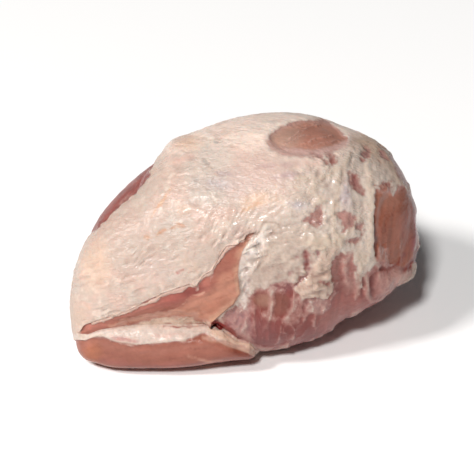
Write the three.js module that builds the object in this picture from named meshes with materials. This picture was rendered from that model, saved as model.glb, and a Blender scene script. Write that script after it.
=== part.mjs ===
// A raw boneless pork leg roast, one solid piece of meat with its fat cap, resting on its flat underside.
// Millimetres, +Z up. X runs from the tapered end to the blunt end, Y from the cut front to the back, and
// the origin is at the middle of the bounding box's bottom.
import * as THREE from "three";

// Driving sizes.
const roastLength = 240;
const sectionRows = 72;

// Lines plan: each guide holds its value at eleven sections, from the tapered end to the blunt end.
// The sections are spaced as the cosine of an even angle, which closes both ends round.
const guides = {
  top: [31, 65, 95, 116, 137, 147, 148, 137, 121, 88, 57],
  bottom: [31, 8, -3, -4, -4, -4, -3, 5, 20, 34.5, 57],
  front: [-40, -67, -79, -82.4, -81, -75, -71, -61, -43, -24, -4],
  back: [-40, -20, 10, 42, 69, 83, 84.9, 76, 57, 29, -4],
  ridge: [-40, -42, -36, -24, -12, -8, -8, -6, -4, -3, -4],
  keel: [-40, -42, -36, -24, -12, -8, -2, 8, 20, 12, -4],
  waistFront: [31, 22, 15, 13, 16, 30, 46, 54, 57, 57, 57],
  waistBack: [31, 42, 50, 56, 58, 58, 58, 60, 62, 60, 57],
  frontUnder: [2.4, 2.4, 2.4, 2.4, 2.4, 2.4, 2.4, 2, 1.5, 1.6, 2],
};
// A section has four superellipse quarters. The front one below the waist takes its power from frontUnder.
const squareness = { topFront: 2.1, topBack: 2.2, bottomBack: 2.4 };

// The cut front is laid out on a sight plane: the roast as seen from the front, 30 degrees above level and
// 1.2 m away. A point there is [across, up] from the aim point, in millimetres at the roast's middle.
const sight = {
  elevation: THREE.MathUtils.degToRad(30),
  distance: 1200,
  aim: new THREE.Vector3(-6.5, 0, 62),
};

// Where the fat cap stops over the cut face.
const fatEdge = [
  [-122, -66], [-109, -65], [-106, -61], [-98, -58], [-84, -54], [-72, -49], [-60, -43], [-50, -38],
  [-33, -32.5], [-28, -34], [-24, -27], [-17, -23], [-10.5, -11], [-7, -6], [-2, -5], [5, -0.5], [13, 4],
];
// The right-hand end of the cut face, from the bottom up.
const slabEdge = [
  [-21, -71], [-16, -59], [-9.5, -53], [-1.5, -46.5], [3, -39],
  [1.5, -27], [2, -17], [5, -8], [13, 4],
];
// The cleft between the body and the folded-under lip, with the lip's top edge below it.
const crease = [
  [-122, -66.5], [-109, -66], [-103, -66.5], [-94.5, -63.5], [-80, -61], [-64, -60], [-25, -60],
  [-14.5, -59], [-5, -66], [1, -70], [9, -71], [14, -76], [20, -82],
];
const lipTop = [
  [-122, -70], [-104, -70], [-95, -67], [-86, -70.5], [-67, -73.5], [-40, -70.5], [-22, -67],
  [-10, -70], [2, -74], [9, -76], [14, -79], [20, -85],
];
// How deep the cleft runs and how far the lip's free end stands out, as [across, millimetres].
const cleftDepth = [
  [-122, 0], [-109, 0], [-103, 2], [-94, 4], [-81, 7], [-60, 9.5], [-39, 11], [-25, 13],
  [-17, 13], [-10, 7], [-2, 3.5], [6, 2], [17, 1], [21, 0],
];
const lipOut = [[-60, 0], [-39, 1.5], [-15, 4], [-2, 6.5], [9, 8.5], [13.3, 9], [14.8, 0]];
// How far the lip's rounding reaches below its top edge.
const lipRound = 5;

const cut = { fatThickness: 1.8, slabStep: 1.2, muscleStep: 4, muscleReach: 14, shoulder: 14 };
// The cut face and the cleft begin between these two places across.
const cutStart = [-113, -104];
// Between these two heights the cut slab stands less and less proud of the muscle beside it.
const slabFade = [-43.5, -9];

// Swellings and hollows that show from the front: middle and reach on the sight plane, and height.
const swellings = {
  shoulder: { at: [-45, 65], reach: [12, 11], height: 4 },
  shankMuscle: { at: [24, -60], reach: [26, 14], height: 3 },
  fatClump: { at: [54, -32], reach: [10, 6], height: 4 },
  heelMuscle: { at: [96, -20], reach: [15, 9], height: 1.5 },
  heelFat: { at: [120, -26], reach: [10, 6], height: 4 },
  furrow: { at: [74, -48], reach: [7, 26], height: -2.5 },
  fasciaHollow: { at: [16, -24], reach: [7, 22], height: -1.5 },
  fasciaRidge: { at: [77, 22], reach: [5, 34], height: 1.5 },
  capHollow: { at: [-8, 40], reach: [22, 16], height: -1.5 },
};

// Windows where the fat is trimmed down to bare muscle: middle, half sizes and depth.
const windows = {
  topOval: { at: [49.5, 69.5], half: [30, 13.5], depth: 2.4, edge: 0.3 },
  blunt: { at: [111, 8], half: [15, 31], depth: 2.6, edge: 0.32 },
};

// The bare back. Angles round a section are 0 at the back and a quarter turn at the top, and places along
// the roast run from 0 to 1. The cap's edge lies at capLow with a slow wave of capWave. It rises as
// capRise tells, in [place, angle], where the cap stops short of the shoulder.
const back = {
  capLow: 0.55, capRise: [[0.09, 0], [0.19, 1.03], [0.29, 1.03], [0.335, 0.4], [0.42, 0]],
  capWave: 0.06, waves: 1.5, waveCrest: 0.2, edgeHalf: 0.025, edgeRun: 0.5,
  capThickness: 3, seamDepth: 4.5, seamReach: 0.11, bulge: 2.5, lowest: -1.1,
};
// Where the two bare muscles below it meet, as angles at the same eleven sections.
const seamAngle = [0.1, 0, -0.12, -0.02, 0.06, 0.02, -0.12, -0.25, -0.22, -0.1, 0];

// The surface is laid in bands round each section, from the middle of the underside up the back, over the
// top and down the front. A band ends on one of the lines above, and has this many strips.
const bands = [
  ["seam", 10], ["capLow", 7], ["capHigh", 1], ["fatHigh", 22],
  ["fatLow", 1], ["foot", 12], ["lip", 3], ["under", 14],
];
const bandSamples = 48;
// Half the height of the step at the fat's edge, and the least angle that a band takes up.
const edgeHalf = 0.6;
const leastBand = 0.012;

const clamp = THREE.MathUtils.clamp;
const smoothstep = (low, high, t) => THREE.MathUtils.smoothstep(t, low, high);

// A guide's value at u, 0 to 1 along the roast: a Catmull-Rom curve through its evenly spaced values.
function guideAt(values, u) {
  const span = clamp(u, 0, 1) * (values.length - 1);
  const i = Math.min(Math.floor(span), values.length - 2);
  const t = span - i;
  const [p0, p1, p2, p3] = [i - 1, i, i + 1, i + 2].map((k) => values[clamp(k, 0, values.length - 1)]);
  const a = (p2 - p0) / 2;
  const b = (p3 - p1) / 2;
  return (2 * p1 - 2 * p2 + a + b) * t ** 3 + (3 * p2 - 3 * p1 - 2 * a - b) * t ** 2 + a * t + p1;
}

// The smooth outer form at u along the roast and angle v round the section, 0 at the back.
function envelope(u, v) {
  const g = {};
  for (const [name, values] of Object.entries(guides)) g[name] = guideAt(values, u);
  const c = Math.cos(v);
  const s = Math.sin(v);
  const quarter = (s > 0 ? "top" : "bottom") + (c > 0 ? "Back" : "Front");
  const power = 2 / (squareness[quarter] ?? g.frontUnder);
  const side = c > 0 ? g.back : g.front;
  const core = s > 0 ? g.ridge : g.keel;
  const waist = THREE.MathUtils.lerp(g.waistFront, g.waistBack, smoothstep(0, 1, (c + 1) / 2));
  const end = s > 0 ? g.top : g.bottom;
  return new THREE.Vector3(
    (-roastLength / 2) * Math.cos(Math.PI * u),
    core + (side - core) * Math.abs(c) ** power,
    waist + (end - waist) * Math.abs(s) ** power,
  );
}

// The way out of the roast at a point, as on the ellipsoid that the roast nearly fills.
const fillCentre = new THREE.Vector3(0, 0, 68);
const fillHalf = new THREE.Vector3(122, 84, 82);
function outward(point) {
  return point.clone().sub(fillCentre).divide(fillHalf).divide(fillHalf).normalize();
}

function onSightPlane(point) {
  const y = point.y - sight.aim.y;
  const z = point.z - sight.aim.z;
  const depth = y * Math.cos(sight.elevation) - z * Math.sin(sight.elevation);
  const scale = sight.distance / (sight.distance + depth);
  const up = z * Math.cos(sight.elevation) + y * Math.sin(sight.elevation);
  return [(point.x - sight.aim.x) * scale, up * scale];
}

// Linear interpolation in a list of [key, value], held level past its ends.
function lookUp(list, key) {
  if (key <= list[0][0]) return list[0][1];
  for (let i = 1; i < list.length; i++) {
    const [k0, v0] = list[i - 1];
    const [k1, v1] = list[i];
    if (key <= k1) return v0 + ((v1 - v0) * (key - k0)) / (k1 - k0);
  }
  return list[list.length - 1][1];
}

function distanceTo(line, a, h) {
  let nearest = Infinity;
  for (let i = 1; i < line.length; i++) {
    const [a0, h0] = line[i - 1];
    const [da, dh] = [line[i][0] - a0, line[i][1] - h0];
    const t = clamp(((a - a0) * da + (h - h0) * dh) / (da * da + dh * dh), 0, 1);
    nearest = Math.min(nearest, Math.hypot(a - a0 - t * da, h - h0 - t * dh));
  }
  return nearest;
}

// A point pushed back by a millimetre climbs this much on the sight plane, at the roast's front.
const climb = Math.sin(sight.elevation) * 1.06;
const slabEdgeByHeight = slabEdge.map(([a, h]) => [h, a]);
const [fatEnd, fatEndUp] = fatEdge[fatEdge.length - 1];

// How far the front is pushed back from the envelope, at [a, h] on the sight plane: the lip, the cleft
// above it, the cut face between the cleft, the fat's edge and the slab's end, and the muscle beside it.
function recess(a, h) {
  const deep = lookUp(cleftDepth, a);
  const foot = lookUp(crease, a) - deep * climb;
  const lip = Math.min(lookUp(lipTop, a), foot - edgeHalf);
  const inwards = clamp(1 - (foot - h) / (foot - lip + lipRound), 0, 1);
  const lipDepth = deep * (1 - Math.sqrt(1 - inwards ** 2)) - lookUp(lipOut, a) * (1 - inwards ** 2);

  // Each edge of the cut face pulls it to its own depth, by the inverse square of the distance.
  const pulls = [
    [distanceTo(fatEdge, a, h), cut.fatThickness],
    [distanceTo(slabEdge, a, h), cut.slabStep],
    [Math.abs(h - foot) * 0.9, deep],
  ].map(([distance, depth]) => [(distance + 0.4) ** -2, depth]);
  const face = pulls.reduce((sum, [w, d]) => sum + w * d, 0) / pulls.reduce((sum, [w]) => sum + w, 0);

  const roll = clamp(1 - (h - foot) / cut.shoulder, 0, 1);
  const low = 1 - smoothstep(slabFade[0], slabFade[1], h);
  const besideSlab = 1 - smoothstep(0, cut.muscleReach, distanceTo(slabEdge, a, h));
  const muscle = Math.max(
    deep * (1 - Math.sqrt(1 - roll ** 2)),
    cut.muscleStep * (0.3 + 0.7 * low) * besideSlab,
  );

  const underFat = a > fatEnd ? 1 : 1 - smoothstep(-0.4, 0.4, h - lookUp(fatEdge, a));
  const onSlab = 1 - smoothstep(-1.4, 1.4, a - lookUp(slabEdgeByHeight, h));
  let above = THREE.MathUtils.lerp(muscle, face, onSlab) * underFat * smoothstep(...cutStart, a);
  if (a > fatEnd && h > fatEndUp) above = muscle * (1 - smoothstep(0, 8, h - fatEndUp));
  return THREE.MathUtils.lerp(lipDepth, above, smoothstep(-0.5, 0.5, h - foot));
}

// Height of the swellings and windows over the envelope, for what faces the sight plane.
function frontRelief(a, h) {
  let height = 0;
  for (const { at, reach, height: rise } of Object.values(swellings))
    height += rise * Math.exp(-(((a - at[0]) / reach[0]) ** 2) - ((h - at[1]) / reach[1]) ** 2);
  for (const { at, half, depth, edge } of Object.values(windows)) {
    const r = Math.hypot((a - at[0]) / half[0], (h - at[1]) / half[1]);
    height -= depth * (1 - smoothstep(1 - edge, 1, r)) * (0.5 + 0.5 * r ** 2);
  }
  return height;
}

function capEdge(u) {
  const wave = Math.cos(2 * Math.PI * back.waves * (u - back.waveCrest));
  return back.capLow + lookUp(back.capRise, u) + back.capWave * wave;
}

// Half the angle over which the cap thins out, more where its edge runs round the section.
function capSpread(u) {
  const halfRow = 0.5 / sectionRows;
  return back.edgeHalf + back.edgeRun * Math.abs(capEdge(u + halfRow) - capEdge(u - halfRow));
}

// How far the bare back lies below the envelope.
function backRecess(u, v) {
  const cap = capEdge(u);
  const seam = guideAt(seamAngle, u);
  const bare = 1 - smoothstep(-1, 1, (v - cap) / capSpread(u));
  const fold = Math.exp(-Math.abs(v - seam) / back.seamReach);
  const across = v > seam ? (v - seam) / (cap - seam) : (seam - v) / (seam - back.lowest);
  const swell = back.bulge * Math.sin(Math.PI * clamp(across, 0, 1));
  const fade = smoothstep(back.lowest, back.lowest + 0.6, v)
    * smoothstep(0, 0.1, u) * smoothstep(0, 0.3, 1 - u);
  return (back.capThickness + back.seamDepth * fold - swell) * bare * fade;
}

function surfacePoint(u, v) {
  const point = envelope(u, v);
  const [a, h] = onSightPlane(point);
  const out = outward(point);
  const facing = out.z * Math.sin(sight.elevation) - out.y * Math.cos(sight.elevation);
  const ends = smoothstep(0, 0.03, u) * smoothstep(0, 0.03, 1 - u);
  const front = smoothstep(0, 0.12, -Math.cos(v)) * smoothstep(0, 0.03, u);
  const rise = frontRelief(a, h) * smoothstep(-0.35, 0.05, facing) - backRecess(u, v);
  point.y += recess(a, h) * front;
  point.addScaledVector(out, rise * ends);
  point.z = Math.max(point.z, 0);
  return point;
}

// Row i's place along the roast, a little closer together in the middle than the guides' sections.
function rowAt(i) {
  const t = i / sectionRows;
  return t + (0.4 * Math.sin(2 * Math.PI * t)) / (2 * Math.PI);
}

// The angle where the front of section u passes down through a line of the sight plane, or undefined.
function crossing(u, lineHeight) {
  const above = (v) => {
    const [a, h] = onSightPlane(envelope(u, v));
    return h - lineHeight(a);
  };
  const step = 0.02;
  for (let v = 1.2; v < 4.4; v += step) {
    const [high, low] = [above(v), above(v + step)];
    if (high > 0 && low <= 0) return v + (step * high) / (high - low);
  }
  return undefined;
}

const footHeight = (a) => lookUp(crease, a) - lookUp(cleftDepth, a) * climb;
const crossed = {
  fatHigh: (a) => lookUp(fatEdge, a) + edgeHalf,
  fatLow: (a) => lookUp(fatEdge, a) - edgeHalf,
  foot: footHeight,
  lip: (a) => Math.min(lookUp(lipTop, a), footHeight(a) - edgeHalf),
};

// Each band's end angle on every row. Past the ends of a line its angle stays as it was.
function bandEnds() {
  const rows = [];
  for (let i = 1; i < sectionRows; i++) {
    const u = rowAt(i);
    const cap = capEdge(u);
    const ends = {
      seam: guideAt(seamAngle, u),
      capLow: cap - capSpread(u),
      capHigh: cap + capSpread(u),
      under: 1.5 * Math.PI,
    };
    for (const [name, line] of Object.entries(crossed)) ends[name] = crossing(u, line);
    rows.push(ends);
  }
  for (const name of Object.keys(crossed)) {
    for (let i = 1; i < rows.length; i++) rows[i][name] ??= rows[i - 1][name];
    for (let i = rows.length - 2; i >= 0; i--) rows[i][name] ??= rows[i + 1][name];
  }
  const inOrder = Object.keys(crossed);
  for (const ends of rows)
    for (let k = 1; k < inOrder.length; k++)
      ends[inOrder[k]] = Math.max(ends[inOrder[k]], ends[inOrder[k - 1]] + leastBand);
  return rows;
}

// A band's length on one row, sample by sample, as shares of the whole.
function bandShares(u, from, to) {
  const points = [];
  for (let k = 0; k <= bandSamples; k++)
    points.push(surfacePoint(u, from + ((to - from) * k) / bandSamples));
  const lengths = points.slice(1).map((p, k) => p.distanceTo(points[k]) + 0.01);
  const whole = lengths.reduce((sum, d) => sum + d, 0);
  return lengths.map((d) => d / whole);
}

// Places from 0 to 1 in a band that divide its length evenly. The shares are averaged over the
// neighbouring rows, so that the strips run smoothly along the roast.
function stripPlaces(shares, row, strips) {
  const reach = 3;
  const passed = [0];
  for (let k = 0; k < bandSamples; k++) {
    let share = 0;
    for (let r = -reach; r <= reach; r++)
      share += shares[clamp(row + r, 0, shares.length - 1)][k] * (reach + 1 - Math.abs(r));
    passed.push(passed[k] + share / (reach + 1) ** 2);
  }
  const places = [];
  for (let k = 0; k < bandSamples; k++)
    while (places.length < strips && places.length / strips <= passed[k + 1]) {
      const part = (places.length / strips - passed[k]) / (passed[k + 1] - passed[k]);
      places.push((k + part) / bandSamples);
    }
  return places;
}

// Rings of points round the roast, closed by one point at each end.
function roastGeometry() {
  const ends = bandEnds();
  const angles = ends.map(() => []);
  let startOf = () => -Math.PI / 2;
  for (const [name, strips] of bands) {
    const [from, to] = [startOf, (row) => row[name]];
    const shares = ends.map((row, i) => bandShares(rowAt(i + 1), from(row), to(row)));
    ends.forEach((row, i) => {
      for (const place of stripPlaces(shares, i, strips))
        angles[i].push(THREE.MathUtils.lerp(from(row), to(row), place));
    });
    startOf = to;
  }
  const points = [surfacePoint(0, 0)];
  angles.forEach((row, i) => row.forEach((v) => points.push(surfacePoint(rowAt(i + 1), v))));
  points.push(surfacePoint(1, 0));

  const faces = [];
  const columns = angles[0].length;
  const at = (row, column) => 1 + row * columns + (column % columns);
  const apart = (p, q) => points[p].distanceTo(points[q]);
  for (let j = 0; j < columns; j++) {
    faces.push(0, at(0, j + 1), at(0, j));
    for (let i = 0; i < angles.length - 1; i++) {
      // Each four-sided face is split along its shorter diagonal.
      const [a, b, c, d] = [at(i, j), at(i, j + 1), at(i + 1, j + 1), at(i + 1, j)];
      if (apart(b, d) < apart(a, c)) faces.push(a, b, d, b, c, d);
      else faces.push(a, b, c, a, c, d);
    }
    faces.push(at(angles.length - 1, j), at(angles.length - 1, j + 1), points.length - 1);
  }
  return new THREE.BufferGeometry().setFromPoints(points).setIndex(faces);
}

const geometry = roastGeometry();
geometry.computeVertexNormals();
const meat = new THREE.MeshStandardMaterial({ color: 0xdcc0b0, roughness: 0.42, metalness: 0 });
const roast = new THREE.Mesh(geometry, meat);
roast.name = "pork_leg_roast";

const model = new THREE.Group();
model.add(roast);
export default model;
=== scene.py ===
import math
import bpy
import numpy as np
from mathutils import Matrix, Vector


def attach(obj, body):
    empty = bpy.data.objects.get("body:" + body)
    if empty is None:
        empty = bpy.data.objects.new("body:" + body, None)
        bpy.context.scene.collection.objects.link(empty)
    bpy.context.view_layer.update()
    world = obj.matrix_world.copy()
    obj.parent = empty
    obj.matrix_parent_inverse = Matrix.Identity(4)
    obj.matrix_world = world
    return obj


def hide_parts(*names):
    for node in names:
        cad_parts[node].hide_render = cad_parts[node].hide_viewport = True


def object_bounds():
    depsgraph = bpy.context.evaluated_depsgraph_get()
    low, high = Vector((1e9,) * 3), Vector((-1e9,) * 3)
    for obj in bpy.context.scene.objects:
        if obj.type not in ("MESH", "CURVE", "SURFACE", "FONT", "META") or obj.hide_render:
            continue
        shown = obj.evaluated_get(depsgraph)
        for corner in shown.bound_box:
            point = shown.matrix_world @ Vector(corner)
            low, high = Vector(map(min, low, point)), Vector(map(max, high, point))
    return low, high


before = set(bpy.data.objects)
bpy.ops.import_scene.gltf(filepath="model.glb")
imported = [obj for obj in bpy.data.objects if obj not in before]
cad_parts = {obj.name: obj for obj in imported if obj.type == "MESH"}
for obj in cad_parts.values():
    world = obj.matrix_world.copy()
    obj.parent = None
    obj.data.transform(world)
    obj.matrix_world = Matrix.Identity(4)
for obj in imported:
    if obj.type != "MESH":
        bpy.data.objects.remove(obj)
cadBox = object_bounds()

# A raw boneless pork leg roast. Shapes are worked out in millimetres in the part's own frame and turned to
# metres when the mesh is made. Along the roast u runs from 0 to 1, and round it v is an angle in radians:
# from underneath at -pi / 2 by the back, the top at pi / 2 and the front at pi to underneath again.

# The form: each guide holds its value at eleven sections, from the tapered end to the blunt end.
roastForm = {
    "length": 240,
    "top": [31, 65, 95, 116, 137, 147, 148, 137, 121, 88, 57],
    "bottom": [31, 8, -3, -4, -4, -4, -3, 5, 20, 34.5, 57],
    "front": [-40, -67, -79, -82.4, -81, -75, -71, -61, -43, -24, -4],
    "back": [-40, -20, 10, 42, 69, 83, 84.9, 76, 57, 29, -4],
    "ridge": [-40, -42, -36, -24, -12, -8, -8, -6, -4, -3, -4],
    "keel": [-40, -42, -36, -24, -12, -8, -2, 8, 20, 12, -4],
    "waistFront": [31, 22, 15, 13, 16, 30, 46, 54, 57, 57, 57],
    "waistBack": [31, 42, 50, 56, 58, 58, 58, 60, 62, 60, 57],
    "frontUnder": [2.4, 2.4, 2.4, 2.4, 2.4, 2.4, 2.4, 2, 1.5, 1.6, 2],
    "squareness": {"topFront": 2.1, "topBack": 2.2, "bottomBack": 2.4},
}

# The roast as seen from the front, 30 degrees above level and 1.2 m away. What shows there is placed on
# this sight plane as (across, up) from the aim point, in millimetres at the roast's middle.
sight = {
    "elevation": math.radians(30), "distance": 1200, "aim": (-6.5, 0, 62), "sensor": 36,
    "pixels": 474, "pixelsPerMillimetre": 1.45,  # the photo's width, and its scale at the roast's middle
}
toCamera = np.array([0, -math.cos(sight["elevation"]), math.sin(sight["elevation"])])

# The cut face, the cleft and the folded-under lip, on the sight plane.
cut = {
    "fatEdge": [
        (-122, -66), (-109, -65), (-106, -61), (-98, -58), (-84, -54), (-72, -49), (-60, -43), (-50, -38),
        (-33, -32.5), (-28, -34), (-24, -27), (-17, -23), (-10.5, -11), (-7, -6), (-2, -5), (5, -0.5),
        (13, 4)],
    "slabEdge": [
        (-21, -71), (-16, -59), (-9.5, -53), (-1.5, -46.5), (3, -39),
        (1.5, -27), (2, -17), (5, -8), (13, 4)],
    "crease": [
        (-122, -66.5), (-109, -66), (-103, -66.5), (-94.5, -63.5), (-80, -61), (-64, -60), (-25, -60),
        (-14.5, -59), (-5, -66), (1, -70), (9, -71), (14, -76), (20, -82)],
    "lipTop": [
        (-122, -70), (-104, -70), (-95, -67), (-86, -70.5), (-67, -73.5), (-40, -70.5), (-22, -67),
        (-10, -70), (2, -74), (9, -76), (14, -79), (20, -85)],
    "cleftDepth": [
        (-122, 0), (-109, 0), (-103, 2), (-94, 4), (-81, 7), (-60, 9.5), (-39, 11), (-25, 13),
        (-17, 13), (-10, 7), (-2, 3.5), (6, 2), (17, 1), (21, 0)],
    "lipOut": [(-60, 0), (-39, 1.5), (-15, 4), (-2, 6.5), (9, 8.5), (13.3, 9), (14.8, 0)],
    "lipRound": 5, "leastLip": 0.6, "fatThickness": 1.8, "slabStep": 1.2,
    "footPull": 0.9, "blend": 0.4,  # how its three edges share out the depth of the cut face
    "muscleStep": 4, "muscleReach": 14, "highStep": 0.3, "shoulder": 14,  # the muscle beside the slab
    "overEnd": 8,  # how far above the end of the fat's edge that muscle still lies back
}

swellings = {
    "shoulder": {"at": (-45, 65), "reach": (12, 11), "height": 4},
    "shankMuscle": {"at": (24, -60), "reach": (26, 14), "height": 3},
    "fatClump": {"at": (54, -32), "reach": (10, 6), "height": 4},
    "heelMuscle": {"at": (96, -20), "reach": (15, 9), "height": 1.5},
    "heelFat": {"at": (120, -26), "reach": (10, 6), "height": 4},
    "furrow": {"at": (74, -48), "reach": (7, 26), "height": -2.5},
    "fasciaHollow": {"at": (16, -24), "reach": (7, 22), "height": -1.5},
    "fasciaRidge": {"at": (77, 22), "reach": (5, 34), "height": 1.5},
    "capHollow": {"at": (-8, 40), "reach": (22, 16), "height": -1.5},
}
windows = {
    "topOval": {"at": (49.5, 69.5), "half": (30, 13.5), "depth": 2.4, "edge": 0.3},
    "blunt": {"at": (111, 8), "half": (15, 31), "depth": 2.6, "edge": 0.32},
}
ellipsoid = {"half": (122, 84, 82), "middle": (0, 0, 68)}  # the roast nearly fills it

# The bare back: where the fat cap stops and where two muscles meet, as angles round the section.
back = {
    "capLow": 0.55, "capRise": [(0.09, 0), (0.19, 1.03), (0.29, 1.03), (0.335, 0.4), (0.42, 0)],
    "capWave": 0.06, "waves": 1.5, "waveCrest": 0.2, "edgeHalf": 0.025, "edgeRun": 0.5, "edgeStep": 0.007,
    "edgeStray": 0.02,
    "seamAngle": [0.1, 0, -0.12, -0.02, 0.06, 0.02, -0.12, -0.25, -0.22, -0.1, 0],
    "capThickness": 3, "seamDepth": 4.5, "seamReach": 0.11, "bulge": 2.5, "lowest": -1.1, "lowestFade": 0.6,
}

# Rows run round the roast and strips along it; strips lie closest together where detail shows.
grid = {
    "rows": 318, "packing": 0.4,
    "strips": {
        "seam": 22, "capLow": 18, "capHigh": 2, "fatHigh": 122, "fatLow": 4, "foot": 66, "lip": 16,
        "under": 46},
    "samples": 64, "smoothing": 12, "leastLength": 0.01, "hiddenShare": 0.35,
    "search": (1.2, 4.4), "searchStep": 0.02, "fatBand": 0.6, "leastBand": 0.012,
}

# Where one thing gives way to another: each share runs from 0 at the first value to 1 at the second.
edges = {
    # places along the roast
    "tips": (0, 0.02), "bothEnds": (0, 0.03), "backStart": (0, 0.1), "backEnd": (0, 0.3),
    "blunt": (0.9, 0.96), "underAlong": (0.4, 0.6),
    # angles round it
    "underBack": (-1.25, -1.0), "over": (0.6, 0.9), "seenFrom": (0.8, 1.2), "lipRound": (2.9, 3.0),
    "under": (4.0, 4.4), "seenTo": (4.0, 4.3), "below": (4.5, 4.7),
    # how far a face turns towards the front or the camera
    "turn": (0, 0.12), "facing": (-0.3, -0.08), "facingRelief": (-0.35, 0.05),
    # millimetres across on the sight plane, or past one of its lines
    "start": (-113, -104), "cutStart": (-110.5, -108), "lipEnd": (13, 15), "shelfEnd": (15, 17),
    "stringyAcross": (35, 60), "pastSlab": (-1.4, 1.4), "wrinkles": (-4, 5),
    # millimetres up on the sight plane, or above one of its lines
    "paleTop": (40, 75), "oval": (52, 58), "stringyUp": (58, 46), "slabFade": (-43.5, -9),
    "lowMuscle": (-20, -35), "overFat": (-0.4, 0.4), "overFoot": (-0.5, 0.5), "overLip": (-0.8, 0.4),
    # levels of noise, of ridges and of cover, frost and folds
    "film": (0.1, 0.8), "seamFat": (-0.1, 0.5), "patchy": (0.4, -0.4), "thread": (0.5, 0.95),
    "threads": (-0.1, 0.3), "fatty": (0.3, 1.0), "crumbly": (0.1, 0.5), "frosty": (0.2, 0.45),
    "groove": (0.05, -0.5),
}


def smoothstep(low, high, t):
    # 0 up to low, 1 from high on, and 3 s^2 - 2 s^3 where s is the part of the way between
    s = np.clip((t - low) / (high - low), 0, 1)
    return s * s * (3 - 2 * s)


def past(edge, t):
    # the share past one of the edges
    return smoothstep(*edges[edge], t)


def mixed(a, b, share):
    # a where the share is 0, b where it is 1, straight in between
    return a + (b - a) * share


def catmullRom(p0, p1, p2, p3, t):
    # the cubic from p1 to p2 that leaves along p2 - p0 and arrives along p3 - p1
    a, b = (p2 - p0) / 2, (p3 - p1) / 2
    return (2 * p1 - 2 * p2 + a + b) * t**3 + (3 * p2 - 3 * p1 - 2 * a - b) * t**2 + a * t + p1


def guideAt(values, u):
    # Catmull-Rom curve through evenly spaced values, its ends doubled
    values = np.asarray(values, float)
    last = len(values) - 1
    s = np.clip(u, 0, 1) * last
    i = np.minimum(s.astype(int), last - 1)
    return catmullRom(*(values[np.clip(i + k, 0, last)] for k in (-1, 0, 1, 2)), s - i)


def lookUp(pairs, key):
    # straight lines between pairs of a key and its value
    keys, values = zip(*pairs)
    return np.interp(key, keys, values)


def envelope(u, v):
    # superellipse quarters: y = core + (side - core) |cos v|^p, z = waist + (end - waist) |sin v|^p, where
    # the core is the ridge above the waist and the keel below it
    g = {name: guideAt(values, u) for name, values in roastForm.items() if isinstance(values, list)}
    power = roastForm["squareness"]
    c, s = np.cos(v), np.sin(v)
    isBack, isTop = c > 0, s > 0
    n = np.where(isTop, np.where(isBack, power["topBack"], power["topFront"]),
                 np.where(isBack, power["bottomBack"], g["frontUnder"]))
    side = np.where(isBack, g["back"], g["front"])
    waist = mixed(g["waistFront"], g["waistBack"], smoothstep(0, 1, (c + 1) / 2))
    end = np.where(isTop, g["top"], g["bottom"])
    x = -roastForm["length"] / 2 * np.cos(np.pi * u) + 0 * v
    core = np.where(isTop, g["ridge"], g["keel"])
    y = core + (side - core) * np.abs(c) ** (2 / n)
    z = waist + (end - waist) * np.abs(s) ** (2 / n)
    return x, y, z


def onSightPlane(x, y, z):
    # perspective onto a plane through the aim point, square to the line of sight
    dx, dy, dz = (value - middle for value, middle in zip((x, y, z), sight["aim"]))
    towards, up = -toCamera[1], toCamera[2]
    scale = sight["distance"] / (sight["distance"] + dy * towards - dz * up)
    return dx * scale, (dz * towards + dy * up) * scale


def distanceTo(line, a, h):
    # distance to the nearest stretch of a line of points, and how far along the line that is, 0 to 1
    points = np.asarray(line, float)
    lengths = np.hypot(*np.diff(points, axis=0).T)
    starts = np.concatenate([[0], np.cumsum(lengths)])
    nearest, along = np.full(np.shape(a), 1e9), np.zeros(np.shape(a))
    for (a0, h0), (a1, h1), start, length in zip(points[:-1], points[1:], starts, lengths):
        t = np.clip(((a - a0) * (a1 - a0) + (h - h0) * (h1 - h0)) / length**2, 0, 1)
        d = np.hypot(a - a0 - t * (a1 - a0), h - h0 - t * (h1 - h0))
        along = np.where(d < nearest, (start + t * length) / starts[-1], along)
        nearest = np.minimum(d, nearest)
    return nearest, along


climb = toCamera[2] * 1.06  # what a point pushed back by 1 mm climbs as seen, at the near side's larger scale
slabByHeight = [(h, a) for a, h in cut["slabEdge"]]
fatEnd, fatEndUp = cut["fatEdge"][-1]


def footHeight(a):
    # the crease as seen, lowered by what the cleft's depth makes it climb
    return lookUp(cut["crease"], a) - lookUp(cut["cleftDepth"], a) * climb


def lipHeight(a):
    # the lip's top, kept a little below the foot
    return np.minimum(lookUp(cut["lipTop"], a), footHeight(a) - cut["leastLip"])


def cutFields(a, h):
    # how far a place belongs to what is below the fat, on the slab and above the cleft's foot, 0 to 1 each
    underFat = np.where(a > fatEnd, 1, 1 - past("overFat", h - lookUp(cut["fatEdge"], a)))
    onSlab = 1 - past("pastSlab", a - lookUp(slabByHeight, h))
    return underFat, onSlab, past("overFoot", h - footHeight(a))


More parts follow.
